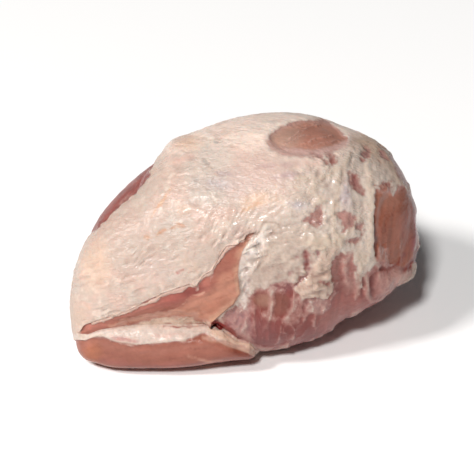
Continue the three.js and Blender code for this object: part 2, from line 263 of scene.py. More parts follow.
def recess(a, h):
    # push towards the back: the lip, the cleft above it, the cut face between its three edges, and the
    # muscle that rolls out of the cleft beside it
    deep, foot, lip = lookUp(cut["cleftDepth"], a), footHeight(a), lipHeight(a)
    inwards = np.clip(1 - (foot - h) / (foot - lip + cut["lipRound"]), 0, 1)
    lipDepth = deep * (1 - np.sqrt(1 - inwards**2)) - lookUp(cut["lipOut"], a) * (1 - inwards**2)
    toSlab = distanceTo(cut["slabEdge"], a, h)[0]
    pulls = [(distanceTo(cut["fatEdge"], a, h)[0], cut["fatThickness"]),
             (toSlab, cut["slabStep"]), (np.abs(h - foot) * cut["footPull"], deep)]
    weights = [(distance + cut["blend"]) ** -2.0 for distance, _ in pulls]
    face = sum(w * depth for w, (_, depth) in zip(weights, pulls)) / sum(weights)
    roll = np.clip(1 - (h - foot) / cut["shoulder"], 0, 1)
    step = cut["muscleStep"] * mixed(1, cut["highStep"], past("slabFade", h))
    beside = 1 - smoothstep(0, cut["muscleReach"], toSlab)
    muscle = np.maximum(deep * (1 - np.sqrt(1 - roll**2)), step * beside)
    underFat, onSlab, aboveFoot = cutFields(a, h)
    above = mixed(muscle, face, onSlab) * underFat * past("start", a)
    overEnd = muscle * (1 - smoothstep(0, cut["overEnd"], h - fatEndUp))
    above = np.where((a > fatEnd) & (h > fatEndUp), overEnd, above)
    return mixed(lipDepth, above, aboveFoot)


def frontRelief(a, h):
    # bell-shaped swellings, less the windows, sunk inside their rims and half as deep in the middle
    height = 0
    for s in swellings.values():
        r2 = ((a - s["at"][0]) / s["reach"][0]) ** 2 + ((h - s["at"][1]) / s["reach"][1]) ** 2
        height = height + s["height"] * np.exp(-r2)
    for w in windows.values():
        r = np.hypot((a - w["at"][0]) / w["half"][0], (h - w["at"][1]) / w["half"][1])
        height = height - w["depth"] * (1 - smoothstep(1 - w["edge"], 1, r)) * (0.5 + 0.5 * r**2)
    return height


def capEdge(u):
    # low along most of the back, high where the cap stops short of the shoulder, with a slow wave
    wave = np.cos(2 * np.pi * back["waves"] * (u - back["waveCrest"]))
    return back["capLow"] + lookUp(back["capRise"], u) + back["capWave"] * wave


def capSpread(u):
    # half the angle over which the fat thins out, more where its edge runs round the section
    slope = np.abs(capEdge(u + back["edgeStep"]) - capEdge(u - back["edgeStep"]))
    return back["edgeHalf"] + back["edgeRun"] * slope


def backRecess(u, v):
    # the cap's thickness and a fold along the seam, less a swell of each muscle
    cap, seam = capEdge(u), guideAt(back["seamAngle"], u)
    bare = 1 - smoothstep(-1, 1, (v - cap) / capSpread(u))
    fold = np.exp(-np.abs(v - seam) / back["seamReach"])
    across = np.where(v > seam, (v - seam) / (cap - seam), (seam - v) / (seam - back["lowest"]))
    swell = back["bulge"] * np.sin(np.pi * np.clip(across, 0, 1))
    fade = smoothstep(back["lowest"], back["lowest"] + back["lowestFade"], v)
    fade = fade * past("backStart", u) * past("backEnd", 1 - u)
    return (back["capThickness"] + back["seamDepth"] * fold - swell) * bare * fade


def outward(p):
    # the way out, as on the ellipsoid
    n = (p - np.array(ellipsoid["middle"])) / np.array(ellipsoid["half"]) ** 2
    return n / np.linalg.norm(n, axis=-1, keepdims=True)


def surface(u, v):
    # the envelope, pushed back by the recess and moved out by the relief, and kept above the ground
    x, y, z = envelope(u, v)
    a, h = onSightPlane(x, y, z)
    out = outward(np.stack([x, y, z], -1))
    front = past("turn", -np.cos(v)) * past("bothEnds", u)
    rise = frontRelief(a, h) * past("facingRelief", out @ toCamera) - backRecess(u, v)
    rise = rise * past("bothEnds", u) * past("bothEnds", 1 - u)
    p = np.stack([x, y + recess(a, h) * front, z], -1) + out * rise[..., None]
    p[..., 2] = np.maximum(p[..., 2], 0)
    return p


def crossing(u, lineHeight):
    # the angle on each row where the front passes down through a line; rows without one take the nearest
    v = np.arange(*grid["search"], grid["searchStep"])[None, :]
    a, h = onSightPlane(*envelope(u, v))
    above = h - lineHeight(a)
    passes = (above[:, :-1] > 0) & (above[:, 1:] <= 0)
    first = np.argmax(passes, axis=1)
    row = np.arange(len(first))
    high, low = above[row, first], above[row, first + 1]
    angle = v[0, first] + grid["searchStep"] * high / (high - low)
    found = np.flatnonzero(passes.any(axis=1))
    return angle[found[np.argmin(np.abs(row[:, None] - found[None, :]), axis=1)]]


def stripPlaces(u, start, end, strips):
    # places 0 to 1 in a band that share out its length evenly, the same way on neighbouring rows
    t = np.linspace(0, 1, grid["samples"] + 1)
    v = start[:, None] + (end - start)[:, None] * t
    p = surface(u, v)
    middle = (v[:, 1:] + v[:, :-1]) / 2
    seen = mixed(grid["hiddenShare"], 1, past("seenFrom", middle) * (1 - past("seenTo", middle)))
    lengths = (np.linalg.norm(np.diff(p, axis=1), axis=2) + grid["leastLength"]) * seen
    lengths /= lengths.sum(axis=1, keepdims=True)
    reach = grid["smoothing"]
    kernel = np.hanning(2 * reach + 3)[1:-1]
    padded = np.pad(lengths, ((reach, reach), (0, 0)), mode="edge")
    mean = sum(w * padded[k:k + len(lengths)] for k, w in enumerate(kernel)) / kernel.sum()
    passed = np.concatenate([np.zeros((len(mean), 1)), np.cumsum(mean, axis=1)], axis=1)
    wanted = np.arange(strips) / strips
    return np.stack([np.interp(wanted, row / row[-1], t) for row in passed])


def roastGrid():
    # rows packed a little closer in the middle; strips end on the lines of the cut face, lip, cap and seam
    t = np.arange(1, grid["rows"]) / grid["rows"]
    u = (t + grid["packing"] * np.sin(2 * np.pi * t) / (2 * np.pi))[:, None]
    cap, spread = capEdge(u[:, 0]), capSpread(u[:, 0])
    ends = {
        "seam": guideAt(back["seamAngle"], u[:, 0]), "capLow": cap - spread, "capHigh": cap + spread,
        "fatHigh": crossing(u, lambda a: lookUp(cut["fatEdge"], a) + grid["fatBand"]),
        "fatLow": crossing(u, lambda a: lookUp(cut["fatEdge"], a) - grid["fatBand"]),
        "foot": crossing(u, footHeight), "lip": crossing(u, lipHeight),
        "under": np.full(len(u), 1.5 * np.pi),
    }
    for higher, lower in (("fatHigh", "fatLow"), ("fatLow", "foot"), ("foot", "lip")):
        ends[lower] = np.maximum(ends[lower], ends[higher] + grid["leastBand"])
    columns, start = [], np.full(len(u), -np.pi / 2)
    for name, strips in grid["strips"].items():
        places = stripPlaces(u, start, ends[name], strips)
        columns.append(start[:, None] + (ends[name] - start)[:, None] * places)
        start = ends[name]
    return u, np.concatenate(columns, axis=1)


def gridNormals(p):
    # cross product of the steps along and round the roast
    around = np.roll(p, -1, axis=1) - np.roll(p, 1, axis=1)
    n = np.cross(around, np.gradient(p, axis=0))
    return n / np.maximum(np.linalg.norm(n, axis=-1, keepdims=True), 1e-9)


def softNoise(p, size, seed):
    # random values on a lattice with cells of that size, blended smoothly in between, -1 to 1
    cells, shift = 32, 100 + seed * 7.31  # the lattice repeats after so many cells, and a seed also moves it
    values = np.random.default_rng(seed).uniform(-1, 1, (cells, cells, cells))
    q = p / size + shift
    i = np.floor(q).astype(int)
    f = smoothstep(0, 1, q - i)
    total = 0
    for corner in np.ndindex(2, 2, 2):
        x, y, z = ((i[..., k] + corner[k]) % cells for k in range(3))
        near = [f[..., k] if corner[k] else 1 - f[..., k] for k in range(3)]
        total = total + values[x, y, z] * near[0] * near[1] * near[2]
    return total


def linear(hexColour):
    # sRGB hex to linear
    c = np.array([int(hexColour[k:k + 2], 16) / 255 for k in (1, 3, 5)])
    return np.where(c <= 0.04045, c / 12.92, ((c + 0.055) / 1.055) ** 2.4)


# Colours of the fat, low and at the top, of film and muscle, and of the grooves between folds; the groove
# colour is partly painted shade and partly the muscle showing pinker through the thinner fat.
meatColours = {
    "fat": "#baa69a", "fatTop": "#e2cdc0", "film": "#ab8278", "muscle": "#773a35", "groove": "#a98a7d",
}

# Soft patches in the fat: "size" is how large they are, and "from" the levels of noise where they show.
fatMottle = {
    "pink": {"fat": "#c9a193", "size": 13, "seed": 30, "from": (0, 0.6), "amount": 0.3},
    "peach": {"fat": "#d3ad91", "size": 8, "seed": 35, "from": (0.4, 1), "amount": 0.25},
    "grey": {"fat": "#b5aca2", "size": 11, "seed": 40, "from": (0.15, 0.75), "amount": 0.4},
    "cream": {"fat": "#dccbbd", "size": 4, "seed": 45, "from": (0.1, 0.7), "amount": 0.35},
}

# What shows from the front, in the order it is laid on, in millimetres on the sight plane. A mark is an
# outline, a line with a half width, or a spot with half sizes and a turn. "on" is the region that it keeps
# to, the body where none is given. "cover" is how thickly fat lies on the muscle: below 0 bare, about 0.4 a
# film, over 1 fat. "frost" is how unevenly it lies, "fat" and "muscle" tint what shows, "rise" lifts it,
# "calm" smooths its lumps and wrinkles, "soft" and "ragged" blur and fray its edge, and "amount" is its
# share. "usual" holds what the marks of a group have in common.
frontMarks = {}

# The wall of fat above the cut and the fringe that hangs from it share this line.
wallLine = [
    (-98.5, -58.2), (-84.3, -54), (-60.3, -43.5), (-48.3, -37.5), (-33.3, -33), (-24.4, -27.6),
    (-17.7, -23.2), (-11.3, -12), (-3.6, -5.7), (4.6, -1.2)]

# Broad areas of fat, film and bare muscle.
frontMarks["areas"] = {
    "usual": {"soft": 3, "ragged": 2.2},
    "frostySheet": {"outline": [(13, 3), (18, 12), (27, 14), (36, 22), (46, 34), (57, 48), (70, 57),
        (82, 62), (96, 68), (130, 60), (130, -60), (60, -70), (2, -56), (2, -34), (3, -18), (7, -8)],
        "soft": 4, "cover": 1.45, "frost": 0.4, "fat": "#bfafa3"},
    "sheetGrey": {"spot": (34, -12), "half": (27, 20), "soft": 7, "cover": 1.3, "frost": 0.3,
        "muscle": "#8f7873", "fat": "#b6a497"},
    "sheetLow": {"spot": (20, -28), "half": (14, 8), "soft": 6, "amount": 0.8, "fat": "#a89488"},
    "topRightFat": {"outline": [(80, 66), (96, 72), (128, 50), (118, 30), (104, 48), (94, 56)], "soft": 5,
        "cover": 1.4, "frost": 0.15, "fat": "#bea592"},
    "lowerMuscle": {"outline": [(-24, -74), (-17, -59), (-9, -54.5), (0, -46), (8, -43), (14, -38),
        (23, -36), (28, -32), (35, -31), (40, -36), (44, -40), (57, -42), (64, -42), (67, -32), (67.5, -22),
        (69, -15), (75, -12), (81, -14), (83, -23), (84, -36), (88, -38), (92, -30), (96, -18), (108, -20),
        (117, -14), (130, -8), (130, -60), (60, -110), (-10, -100), (0, -84), (-2, -74)], "soft": 6,
        "ragged": 4, "cover": -0.4, "frost": 0.18},
    "lavenderFold": {"outline": [(-9, -51), (2, -46), (8, -47), (10, -58), (9, -70), (3, -70), (-4, -62)],
        "cover": 0.28, "frost": 0.2, "muscle": "#815a5c"},
    "filmBand": {"outline": [(6, -44), (12, -37), (28, -34), (45, -38), (52, -50), (47, -59), (30, -58),
        (14, -51)], "cover": 0.05, "frost": 0.35},
    "hollow": {"spot": (70, -22), "half": (4, 10), "soft": 2, "cover": -0.3, "muscle": "#8a5c54",
        "rise": -0.4},
    "lobeFilm": {"spot": (77.5, -33), "half": (4, 12), "cover": 0.1, "muscle": "#8c5f58"},
    "heelMuscle": {"outline": [(92, -24), (97, -20), (107, -22), (110, -28), (104, -37), (94, -38)],
        "soft": 2, "ragged": 1, "cover": -0.3, "muscle": "#92615a"},
    "lilacTint": {"spot": (14, -66), "half": (14, 10), "soft": 6, "amount": 0.4, "muscle": "#7f504f"},
    "rightTint": {"spot": (74, -53), "half": (20, 14), "soft": 8, "cover": -0.5, "muscle": "#8a534c"},
    "redTint": {"spot": (62, -46), "half": (6, 5), "muscle": "#8a4a46"},
}

# Where a muscle lies bare, and what edges it.
frontMarks["windows"] = {
    "usual": {"soft": 0.9, "ragged": 0.5},
    "bluntWindow": {"outline": [(96, -14), (95.5, 5), (95.5, 22), (94.5, 31), (97, 36), (102.5, 36.5),
        (106, 31), (108, 28.5), (110, 34), (113, 35.5), (117, 30), (121, 22), (125, 5), (124, -10),
        (119, -18), (112, -20), (104, -17)], "cover": -0.6, "frost": 0.1, "muscle": "#915745", "rise": 0.8},
    "windowTop": {"spot": (102, 35), "half": (8, 4.5), "soft": 2, "ragged": 2.5, "cover": 0.45,
        "frost": 0.9},
    "windowUpper": {"spot": (104, 26), "half": (10, 7), "soft": 5, "amount": 0.7, "muscle": "#a3705f"},
    # painted shade: darkens the right side of the blunt window
    "windowShade": {"spot": (120, 12), "half": (5, 22), "soft": 4, "amount": 0.8, "cover": -0.8,
        "muscle": "#76392c"},
    "windowRim": {"line": [(119, 33), (122.5, 20), (124.5, 5), (123.5, -8)], "half": (1, 1.6), "soft": 1.6,
        "cover": -0.1, "muscle": "#8d4a4c"},
    "windowFilm": {"outline": [(97, -6), (105, -7), (106, -19), (98, -17)], "soft": 3, "cover": 0.1,
        "frost": 0.5},
    "heelHollow": {"line": [(96.5, -21.5), (103, -21.5), (109, -20), (116, -12)], "half": 1.2, "soft": 1.6,
        "cover": -0.3, "muscle": "#7c3f38"},
    "heelFilm": {"spot": (112, -27), "half": (7, 5), "soft": 2.5, "cover": 0.3, "frost": 0.3,
        "muscle": "#9c6e65"},
    "heelGleam": {"spot": (101, -29), "half": (6, 7), "soft": 2, "cover": 0.15, "frost": 0.3, "rise": 0.9},
    "topOval": {"outline": [(20.5, 67), (25, 74), (33, 78), (45, 81.5), (57, 81.8), (67, 78), (78, 68.5),
        (76, 63), (70, 60), (60, 56), (50, 56), (40, 57), (30, 57), (23, 61)], "soft": 2.4, "ragged": 0.8,
        "cover": 0.5, "frost": 0.15, "muscle": "#cfb0a9", "rise": 0.5},
    "ovalMiddle": {"outline": [(24, 69), (32, 76.5), (43, 80.3), (57, 81), (66, 77.5), (76, 69), (68, 64.5),
        (60, 62), (48, 61), (36, 62.5), (27, 65)], "soft": 2, "cover": -0.55, "frost": 0.02,
        "muscle": "#ae8070"},
    "ovalDark": {"outline": [(46, 79), (58, 79.5), (70, 73), (72, 69), (58, 65), (44, 66)], "soft": 5,
        "muscle": "#ad7867"},
    # painted highlight: a broad soft lighter patch on the left of the oval
    "ovalLight": {"spot": (33, 68), "half": (11, 7), "turn": 20, "soft": 5, "amount": 0.8,
        "muscle": "#b39080"},
    "brownWindowA": {"outline": [(12, -40), (23, -38.5), (22, -47), (14, -46)], "soft": 2.4, "cover": -0.5,
        "frost": 0.2, "muscle": "#8b6153"},
    "brownWindowB": {"outline": [(25, -39), (33.5, -40), (35.5, -46), (34, -53), (24.5, -53)], "soft": 2.4,
        "cover": -0.5, "frost": 0.2, "muscle": "#744339"},
    "edgeBand": {"line": [(107, 55), (111, 48), (116, 39)], "half": (1.5, 3), "soft": 1.6, "cover": 0,
        "muscle": "#8c564e"},
    "backEdge": {"outline": [(-56, 52), (-59.5, 47), (-61, 41), (-69.5, 32.5), (-79, 25), (-90, 13),
        (-100, 3.5), (-106, 2), (-104, 16), (-90, 35), (-70, 55)], "soft": 0.6, "cover": -0.6,
        "frost": 0.05, "muscle": "#8d544e", "rise": 1.2},
}

# Thicker fat in the sheet at the right.
frontMarks["ridges"] = {
    "usual": {"soft": 1.8, "ragged": 1.8, "cover": 1.8, "frost": 0.3, "fat": "#b8a697", "rise": 0.4},
    "main": {"line": [(80, 60), (74, 50), (70, 36), (68, 20), (67, 8), (67, -2)], "half": (1.5, 2.6)},
    "right": {"line": [(90, 52), (92.5, 34), (93, 15), (92.5, -2), (91, -16)], "half": 2, "fat": "#c4b2a3"},
    "slant": {"line": [(60, -8), (67, -3), (74.5, 1), (80, 8), (84, 13)], "half": (2.6, 1.4)},
    "low": {"line": [(86, -12), (86, -20), (85, -28)], "half": (3.6, 2)},
    "left": {"line": [(15, 3), (9, -4), (4.5, -14), (3.5, -28), (4, -42)], "half": (1.6, 1.4), "rise": 0},
    "top": {"line": [(38, 45), (48, 40), (60, 43), (74, 50)], "half": (2, 1.5)},
    "middle": {"line": [(46, -2), (56, -3), (63, -6)], "half": (3, 2)},
    "pillowA": {"spot": (57, -3), "half": (7, 6), "turn": 30, "frost": 0.1, "fat": "#b7a595", "rise": 2},
    "pillowB": {"spot": (69, -3), "half": (6, 4.5), "frost": 0.1, "fat": "#b7a595", "rise": 1.6},
    "wetBand": {"outline": [(14, 3), (20, 7), (19, -6), (12, -16), (7, -26), (2, -26), (2, -16), (6, -8)],
        "soft": 3, "cover": 1.9, "frost": 0.2, "fat": "#cfc3ba", "rise": 0},
    "wetColumn": {"line": [(5, -22), (6, -32), (5, -46)], "half": 2.2, "soft": 3, "cover": 1, "frost": 0.4,
        "fat": "#beafa7", "rise": 0},
    "knotA": {"spot": (52, 33), "half": (7, 3), "turn": 25},
    "knotB": {"spot": (58, 26), "half": (4, 3), "turn": -20},
    "heelFat": {"line": [(108, -36), (116, -30), (125, -21)], "half": (1.5, 2.5), "fat": "#a08a7c"},
}

# Small places in the sheet with little fat.
frontMarks["bareSpots"] = {
    "usual": {"soft": 2.4, "ragged": 2, "cover": 0.1, "frost": 0.5, "muscle": "#966f68"},
    "byOval": {"spot": (65.5, 54), "half": (3.2, 2.4), "turn": 25, "muscle": "#8a4c42"},
    "topA": {"spot": (89, 58), "half": (3, 5), "turn": -20},
    "topB": {"spot": (100.5, 57.5), "half": (2, 4.6), "turn": 33},
    "slanted": {"line": [(80, 42), (83.5, 37), (88, 31)], "half": (2.6, 1.6), "muscle": "#83534f"},
    "patchLeft": {"outline": [(46.5, 16), (51, 17), (56, 21), (60, 25), (59, 14), (57.5, 9), (52, 8),
        (47.5, 10)], "ragged": 3, "cover": 0.2, "frost": 0.9},
    "patchRight": {"outline": [(71, 20), (82, 14.5), (80, 9), (76, 4), (73, 3.5), (71.5, 12)],
        "cover": -0.05},
    "hook": {"line": [(84, 8), (86.5, 5), (85.5, 0.5), (80.5, -2)], "half": (1.8, 1)},
    "comma": {"line": [(48, -10), (49.5, -15), (48.5, -20)], "half": (1.6, 1.8), "cover": -0.35,
        "muscle": "#7d3f3a"},
    "mauveTrail": {"line": [(55, -8), (56, -14), (54.5, -20), (50, -23)], "half": (1.4, 1.6), "cover": 0.15,
        "muscle": "#7c5358"},
    "mauveLine": {"line": [(77, 4), (75.5, -3), (75, -8)], "half": 0.8, "cover": 0.3},
    "speckA": {"spot": (58, 19), "half": (1.6, 1)},
    "speckB": {"spot": (41.5, -13), "half": (2, 1.4), "muscle": "#675853"},
    "speckC": {"spot": (36.5, -25.5), "half": (1.8, 1.1)},
    "belowOval": {"line": [(52, 58.5), (60, 55), (66, 57)], "half": (1, 1.6), "cover": 0.2},
    "redSpeckles": {"spot": (30, -34), "half": (11, 3.6), "cover": 0.15, "frost": 1, "muscle": "#7b4140"},
    "lowSpeckles": {"spot": (56, -47), "half": (8, 6), "soft": 2.5, "cover": 0.35, "frost": 1.1},
    # a sunk groove whose near-black colour is painted shadow along the cream strip's right edge
    "rimLeft": {"line": [(95.7, 15), (96.1, 6), (96.8, -12)], "half": (0.8, 1.1), "soft": 0.8,
        "ragged": 0.2, "cover": -0.9, "muscle": "#502821", "rise": -0.8},
}

# Strands of fat and film on the lower muscles, and the grooves between them.
frontMarks["strands"] = {
    "usual": {"soft": 1.8, "ragged": 0.9, "cover": 0.75, "frost": 0.15, "rise": 0.2},
    "left": {"line": [(24, -37), (23.5, -45), (22, -56)], "half": (1.6, 1)},
    "hollow": {"line": [(74, -17), (75, -22), (73, -27)], "half": (1.2, 0.6), "cover": 0.5},
    "heelFine": {"line": [(90.5, -28), (90, -34), (89, -40)], "half": 0.6, "cover": 0.5},
    "heelGroove": {"line": [(102, -21.5), (96.5, -24), (93.5, -31), (92, -39)], "half": 0.9, "soft": 1,
        "cover": -0.5, "muscle": "#693834", "rise": -1.2},
    "fingerGroove": {"line": [(88.5, -28), (87.2, -34), (86, -41)], "half": 0.8, "soft": 1, "cover": -0.4,
        "muscle": "#74443f", "rise": -0.8},
    "clumpLeft": {"line": [(41, -37), (38.5, -48), (36, -57)], "half": (1.5, 1)},
    "clumpMiddle": {"line": [(45.5, -40), (45, -48), (43, -58)], "half": (1, 0.5), "cover": 0.6},
    "clumpRight": {"line": [(64.5, -30), (64, -38), (63.5, -46)], "half": 0.8},
    "low": {"line": [(58, -42), (56, -52), (52, -62)], "half": 0.6, "cover": 0.45},
    "clumpEdge": {"line": [(66.5, -26), (66.5, -34), (66, -42)], "half": 0.6, "cover": 0.6},
    "fingerTail": {"line": [(85, -26), (84, -34), (82, -42)], "half": (2, 0.8)},
    "fingerThin": {"line": [(90.5, -26), (90.5, -35), (91, -41)], "half": (1.2, 0.8)},
    "lobe": {"line": [(78, -13), (75.5, -17), (75, -26), (77, -33)], "half": (2, 1), "cover": 0.6},
    "curl": {"line": [(96, -14), (98.5, -19), (98, -26)], "half": (1.2, 0.6)},
    "filmLine": {"line": [(0, -49), (14, -51), (23, -55.5), (35, -57), (47, -57)], "half": 0.5,
        "cover": 0.45},
    "lowA": {"line": [(30.5, -60), (31, -67), (26, -76)], "half": 0.3, "soft": 1, "cover": 0.45},
    "lowB": {"line": [(37, -60), (40, -68), (34, -77)], "half": 0.25, "soft": 1, "cover": 0.45},
    "lowC": {"line": [(8, -52), (12, -60), (13, -68)], "half": 0.6, "cover": 0.4},
    "knotLine": {"line": [(0, -50), (4, -57), (5, -64), (8, -70)], "half": (0.8, 1.4), "cover": 0.6},
    "bottomBorder": {"line": [(10, -75), (16, -77.5), (27, -78), (36, -75)], "half": (1.8, 1),
        "cover": 0.7},
    "bottomRim": {"line": [(50, -73), (60, -68.5), (69, -63), (78, -57), (86, -50)], "half": 1,
        "cover": 0.4},
    "heelLine": {"line": [(92, -42), (102, -38), (112, -31), (121, -23)], "half": (1.2, 1.6), "cover": 0.6},
    "windowA": {"line": [(104, -4), (104, -12), (103, -20)], "half": 0.5, "cover": 0.5},
    "windowB": {"line": [(113.5, -2), (113.5, -12), (112, -22)], "half": 0.5, "cover": 0.45},
}

# White streaks in the oval at the top.
frontMarks["ovalStreaks"] = {
    "usual": {"half": 0.3, "soft": 0.6, "ragged": 0.2, "cover": 0.9, "frost": 0.15, "fat": "#d8bcae",
        "rise": 0.2},
    "ovalA": {"line": [(36, 69), (42, 73), (49, 76.5), (56, 78.5)]},
    "ovalB": {"line": [(33, 65.5), (41, 69), (50, 71.5)]},
    "ovalC": {"line": [(45, 66), (55, 69), (66, 71)]},
    "ovalD": {"line": [(42, 77), (50, 78.8), (58, 79.3)]},
    "ovalE": {"line": [(52, 63.5), (62, 66.5), (72, 68)]},
}

# The clump of fat in the middle, its slits and its gaps.
frontMarks["clump"] = {
    "usual": {"soft": 1.2, "ragged": 1.6},
    "fatClump": {"outline": [(41, -38), (40.5, -34), (46, -29.5), (50.5, -25), (52.5, -19), (56, -14),
        (60, -10), (64, -6), (69, -4), (70, -9), (67, -14), (65.5, -20), (65.5, -28), (66, -35), (64, -41),
        (55, -40), (46, -41)], "cover": 1.55, "frost": 0.22, "fat": "#b8a192", "rise": 0.9},
    # the slits are sunk and show bare muscle, painted dark as shade inside them
    "slitUpper": {"line": [(44, -28), (50, -25.3)], "half": 0.6, "cover": -0.5, "muscle": "#582e2a",
        "rise": -1},
    "slitLower": {"line": [(40.5, -33), (44, -30), (48, -27)], "half": 0.5, "cover": -0.4,
        "muscle": "#5a302c", "rise": -1},
    "gapA": {"line": [(56, -30), (60, -30.5), (63, -32)], "half": 0.6, "cover": 0.2, "muscle": "#7d453c",
        "rise": -0.5},
    "gapB": {"line": [(60, -36), (63, -38), (64, -41)], "half": 0.6, "cover": 0.3, "muscle": "#7d453c",
        "rise": -0.5},
}

# Folds of the clump: sunk lines whose darker fat is painted shade in the creases.
frontMarks["clumpFolds"] = {
    "usual": {"half": 0.6, "soft": 1.2, "ragged": 1.6, "fat": "#94796c", "rise": -0.6},
    "foldA": {"line": [(44, -35), (50, -32.5), (57, -32)]},
    "foldB": {"line": [(51, -27), (57, -26), (63, -24)]},
    "foldC": {"line": [(45, -38.5), (52, -36.5), (59, -36)], "rise": -0.5},
}

# Hues of the fat, painted shade on its left side and along the sheet's fold, and its thin edge above the cut.
frontMarks["fatTints"] = {
    "usual": {"soft": 4, "ragged": 1.5},
    # painted shade: darkens the fat on the left, where the lamps light it most
    "leftShade": {"spot": (-72, 2), "half": (28, 26), "soft": 12, "amount": 0.5, "fat": "#ae998d"},
    "thinEdge": {"line": [(-104, -59), (-84, -53), (-60, -42.5), (-48, -36.5), (-33, -32), (-24, -26.5),
        (-18, -22), (-12, -11), (-5, -4.5), (3, 0), (9, 4)], "half": 1.6, "soft": 2.4, "ragged": 0.5,
        "rise": -0.8, "calm": 0.5},
    "greyFat": {"spot": (-18, 44), "half": (20, 22), "soft": 9, "amount": 0.7, "fat": "#b8aca2"},
    "smoothPink": {"spot": (17, 46), "half": (20, 14), "soft": 6, "amount": 0.85, "frost": 0.05,
        "fat": "#bba297", "calm": 0.9},
    "lavenderStrip": {"spot": (75.5, 29), "half": (3.4, 10), "soft": 2, "amount": 0.65, "fat": "#a89ba0"},
    "lavenderSmudge": {"spot": (42, 22.5), "half": (6, 2.6), "turn": -8, "soft": 2.4, "amount": 0.5,
        "fat": "#a29aa3"},
    "pinkFat": {"spot": (0, 36), "half": (12, 10), "soft": 6, "amount": 0.6, "fat": "#bca59c"},
    "peachPatch": {"spot": (14, 26), "half": (9, 4), "turn": 15, "amount": 0.8, "fat": "#cbab94"},
    "peachLine": {"line": [(0, 18), (12, 22), (24, 27), (27, 36)], "half": 0.4, "soft": 0.8, "amount": 0.7,
        "fat": "#c29c80"},
    "tipShade": {"spot": (4, 2), "half": (9, 6), "amount": 0.7, "fat": "#ad948a"},
    "vein": {"line": [(-64, 1), (-60, 0.5), (-56, 2), (-50, 5)], "half": 0.6, "soft": 0.8, "amount": 0.9,
        "fat": "#b08466"},
    "veinTail": {"line": [(-52, 4), (-47, 5.5), (-42, 8.5), (-36, 9)], "half": 0.5, "soft": 0.8,
        "amount": 0.85, "fat": "#b58c76"},
    "veinTop": {"line": [(-47, 33), (-50, 26), (-56, 20), (-59, 14)], "half": 0.5, "soft": 1, "amount": 0.7,
        "fat": "#c79c7e"},
    "redScratch": {"line": [(-42, -23), (-39.5, -22.5), (-36.5, -21)], "half": 0.5, "soft": 0.7,
        "fat": "#9c584c"},
    "pinkStreakA": {"spot": (-37, 54), "half": (7, 2), "turn": 15, "soft": 2.5, "amount": 0.5,
        "fat": "#bf978a"},
    "pinkStreakB": {"spot": (-45, 55), "half": (4, 2), "soft": 2.5, "amount": 0.5, "fat": "#c29c8f"},
    "peachTop": {"spot": (-33, 66), "half": (8, 5), "amount": 0.7, "fat": "#d5b59f"},
    "peachLeft": {"spot": (-98, -20), "half": (9, 16), "soft": 6, "amount": 0.5, "fat": "#cfae98"},
    "pinkLow": {"spot": (-55, -22), "half": (16, 8), "soft": 6, "amount": 0.5, "fat": "#bfaca3"},
    "darkSpeckA": {"line": [(-23.5, 53), (-19.5, 51)], "half": 0.8, "soft": 1.4, "amount": 0.7,
        "fat": "#938a84"},
    "darkSpeckB": {"line": [(-15.5, 66), (-12, 65), (-8, 65)], "half": 0.6, "soft": 1, "amount": 0.8,
        "fat": "#96908a"},
    "darkSpeckC": {"spot": (-27, 39.5), "half": (2, 1), "soft": 1.6, "amount": 0.6, "fat": "#9a918b"},
    "mauveA": {"spot": (-14, 37), "half": (8, 3.5), "soft": 3.5, "amount": 0.6, "fat": "#a69a9b"},
    "mauveB": {"spot": (-9, 44), "half": (6, 1.6), "turn": -10, "soft": 1.2, "amount": 0.7,
        "fat": "#a08b88"},
    "mauveC": {"spot": (34, 43), "half": (9, 1.6), "turn": 10, "soft": 1.4, "amount": 0.7,
        "fat": "#a48c8c"},
    "mauveD": {"spot": (30, 50), "half": (12, 1.4), "turn": 6, "soft": 1.4, "amount": 0.6,
        "fat": "#ab908b"},
    # a sunk fold whose darker colour is painted shadow along it
    "sheetFold": {"line": [(13.5, 1), (16, 8), (18, 11.5), (24, 11.5), (30, 9.5)], "half": 0.4, "soft": 0.8,
        "ragged": 0.4, "fat": "#9c8578", "rise": -0.5},
    "tailBeige": {"outline": [(-120, -40), (-112, -42), (-104, -56), (-112, -70), (-122, -66)], "soft": 6,
        "amount": 0.7, "fat": "#bda595"},
}

# Relief alone, where the outline stands out.
frontMarks["swells"] = {
    "usual": {"on": "all", "soft": 7, "ragged": 0},
    "rightEdge": {"line": [(84, 73), (97, 64), (108, 52), (116, 38), (122, 22)], "half": (-3, 8),
        "rise": 3.2},
    "leftCorner": {"spot": (-107, -81), "half": (8, 9), "rise": 2.4},
    "heel": {"spot": (101, -38), "half": (15, 8), "turn": 28, "rise": 4.5},
}
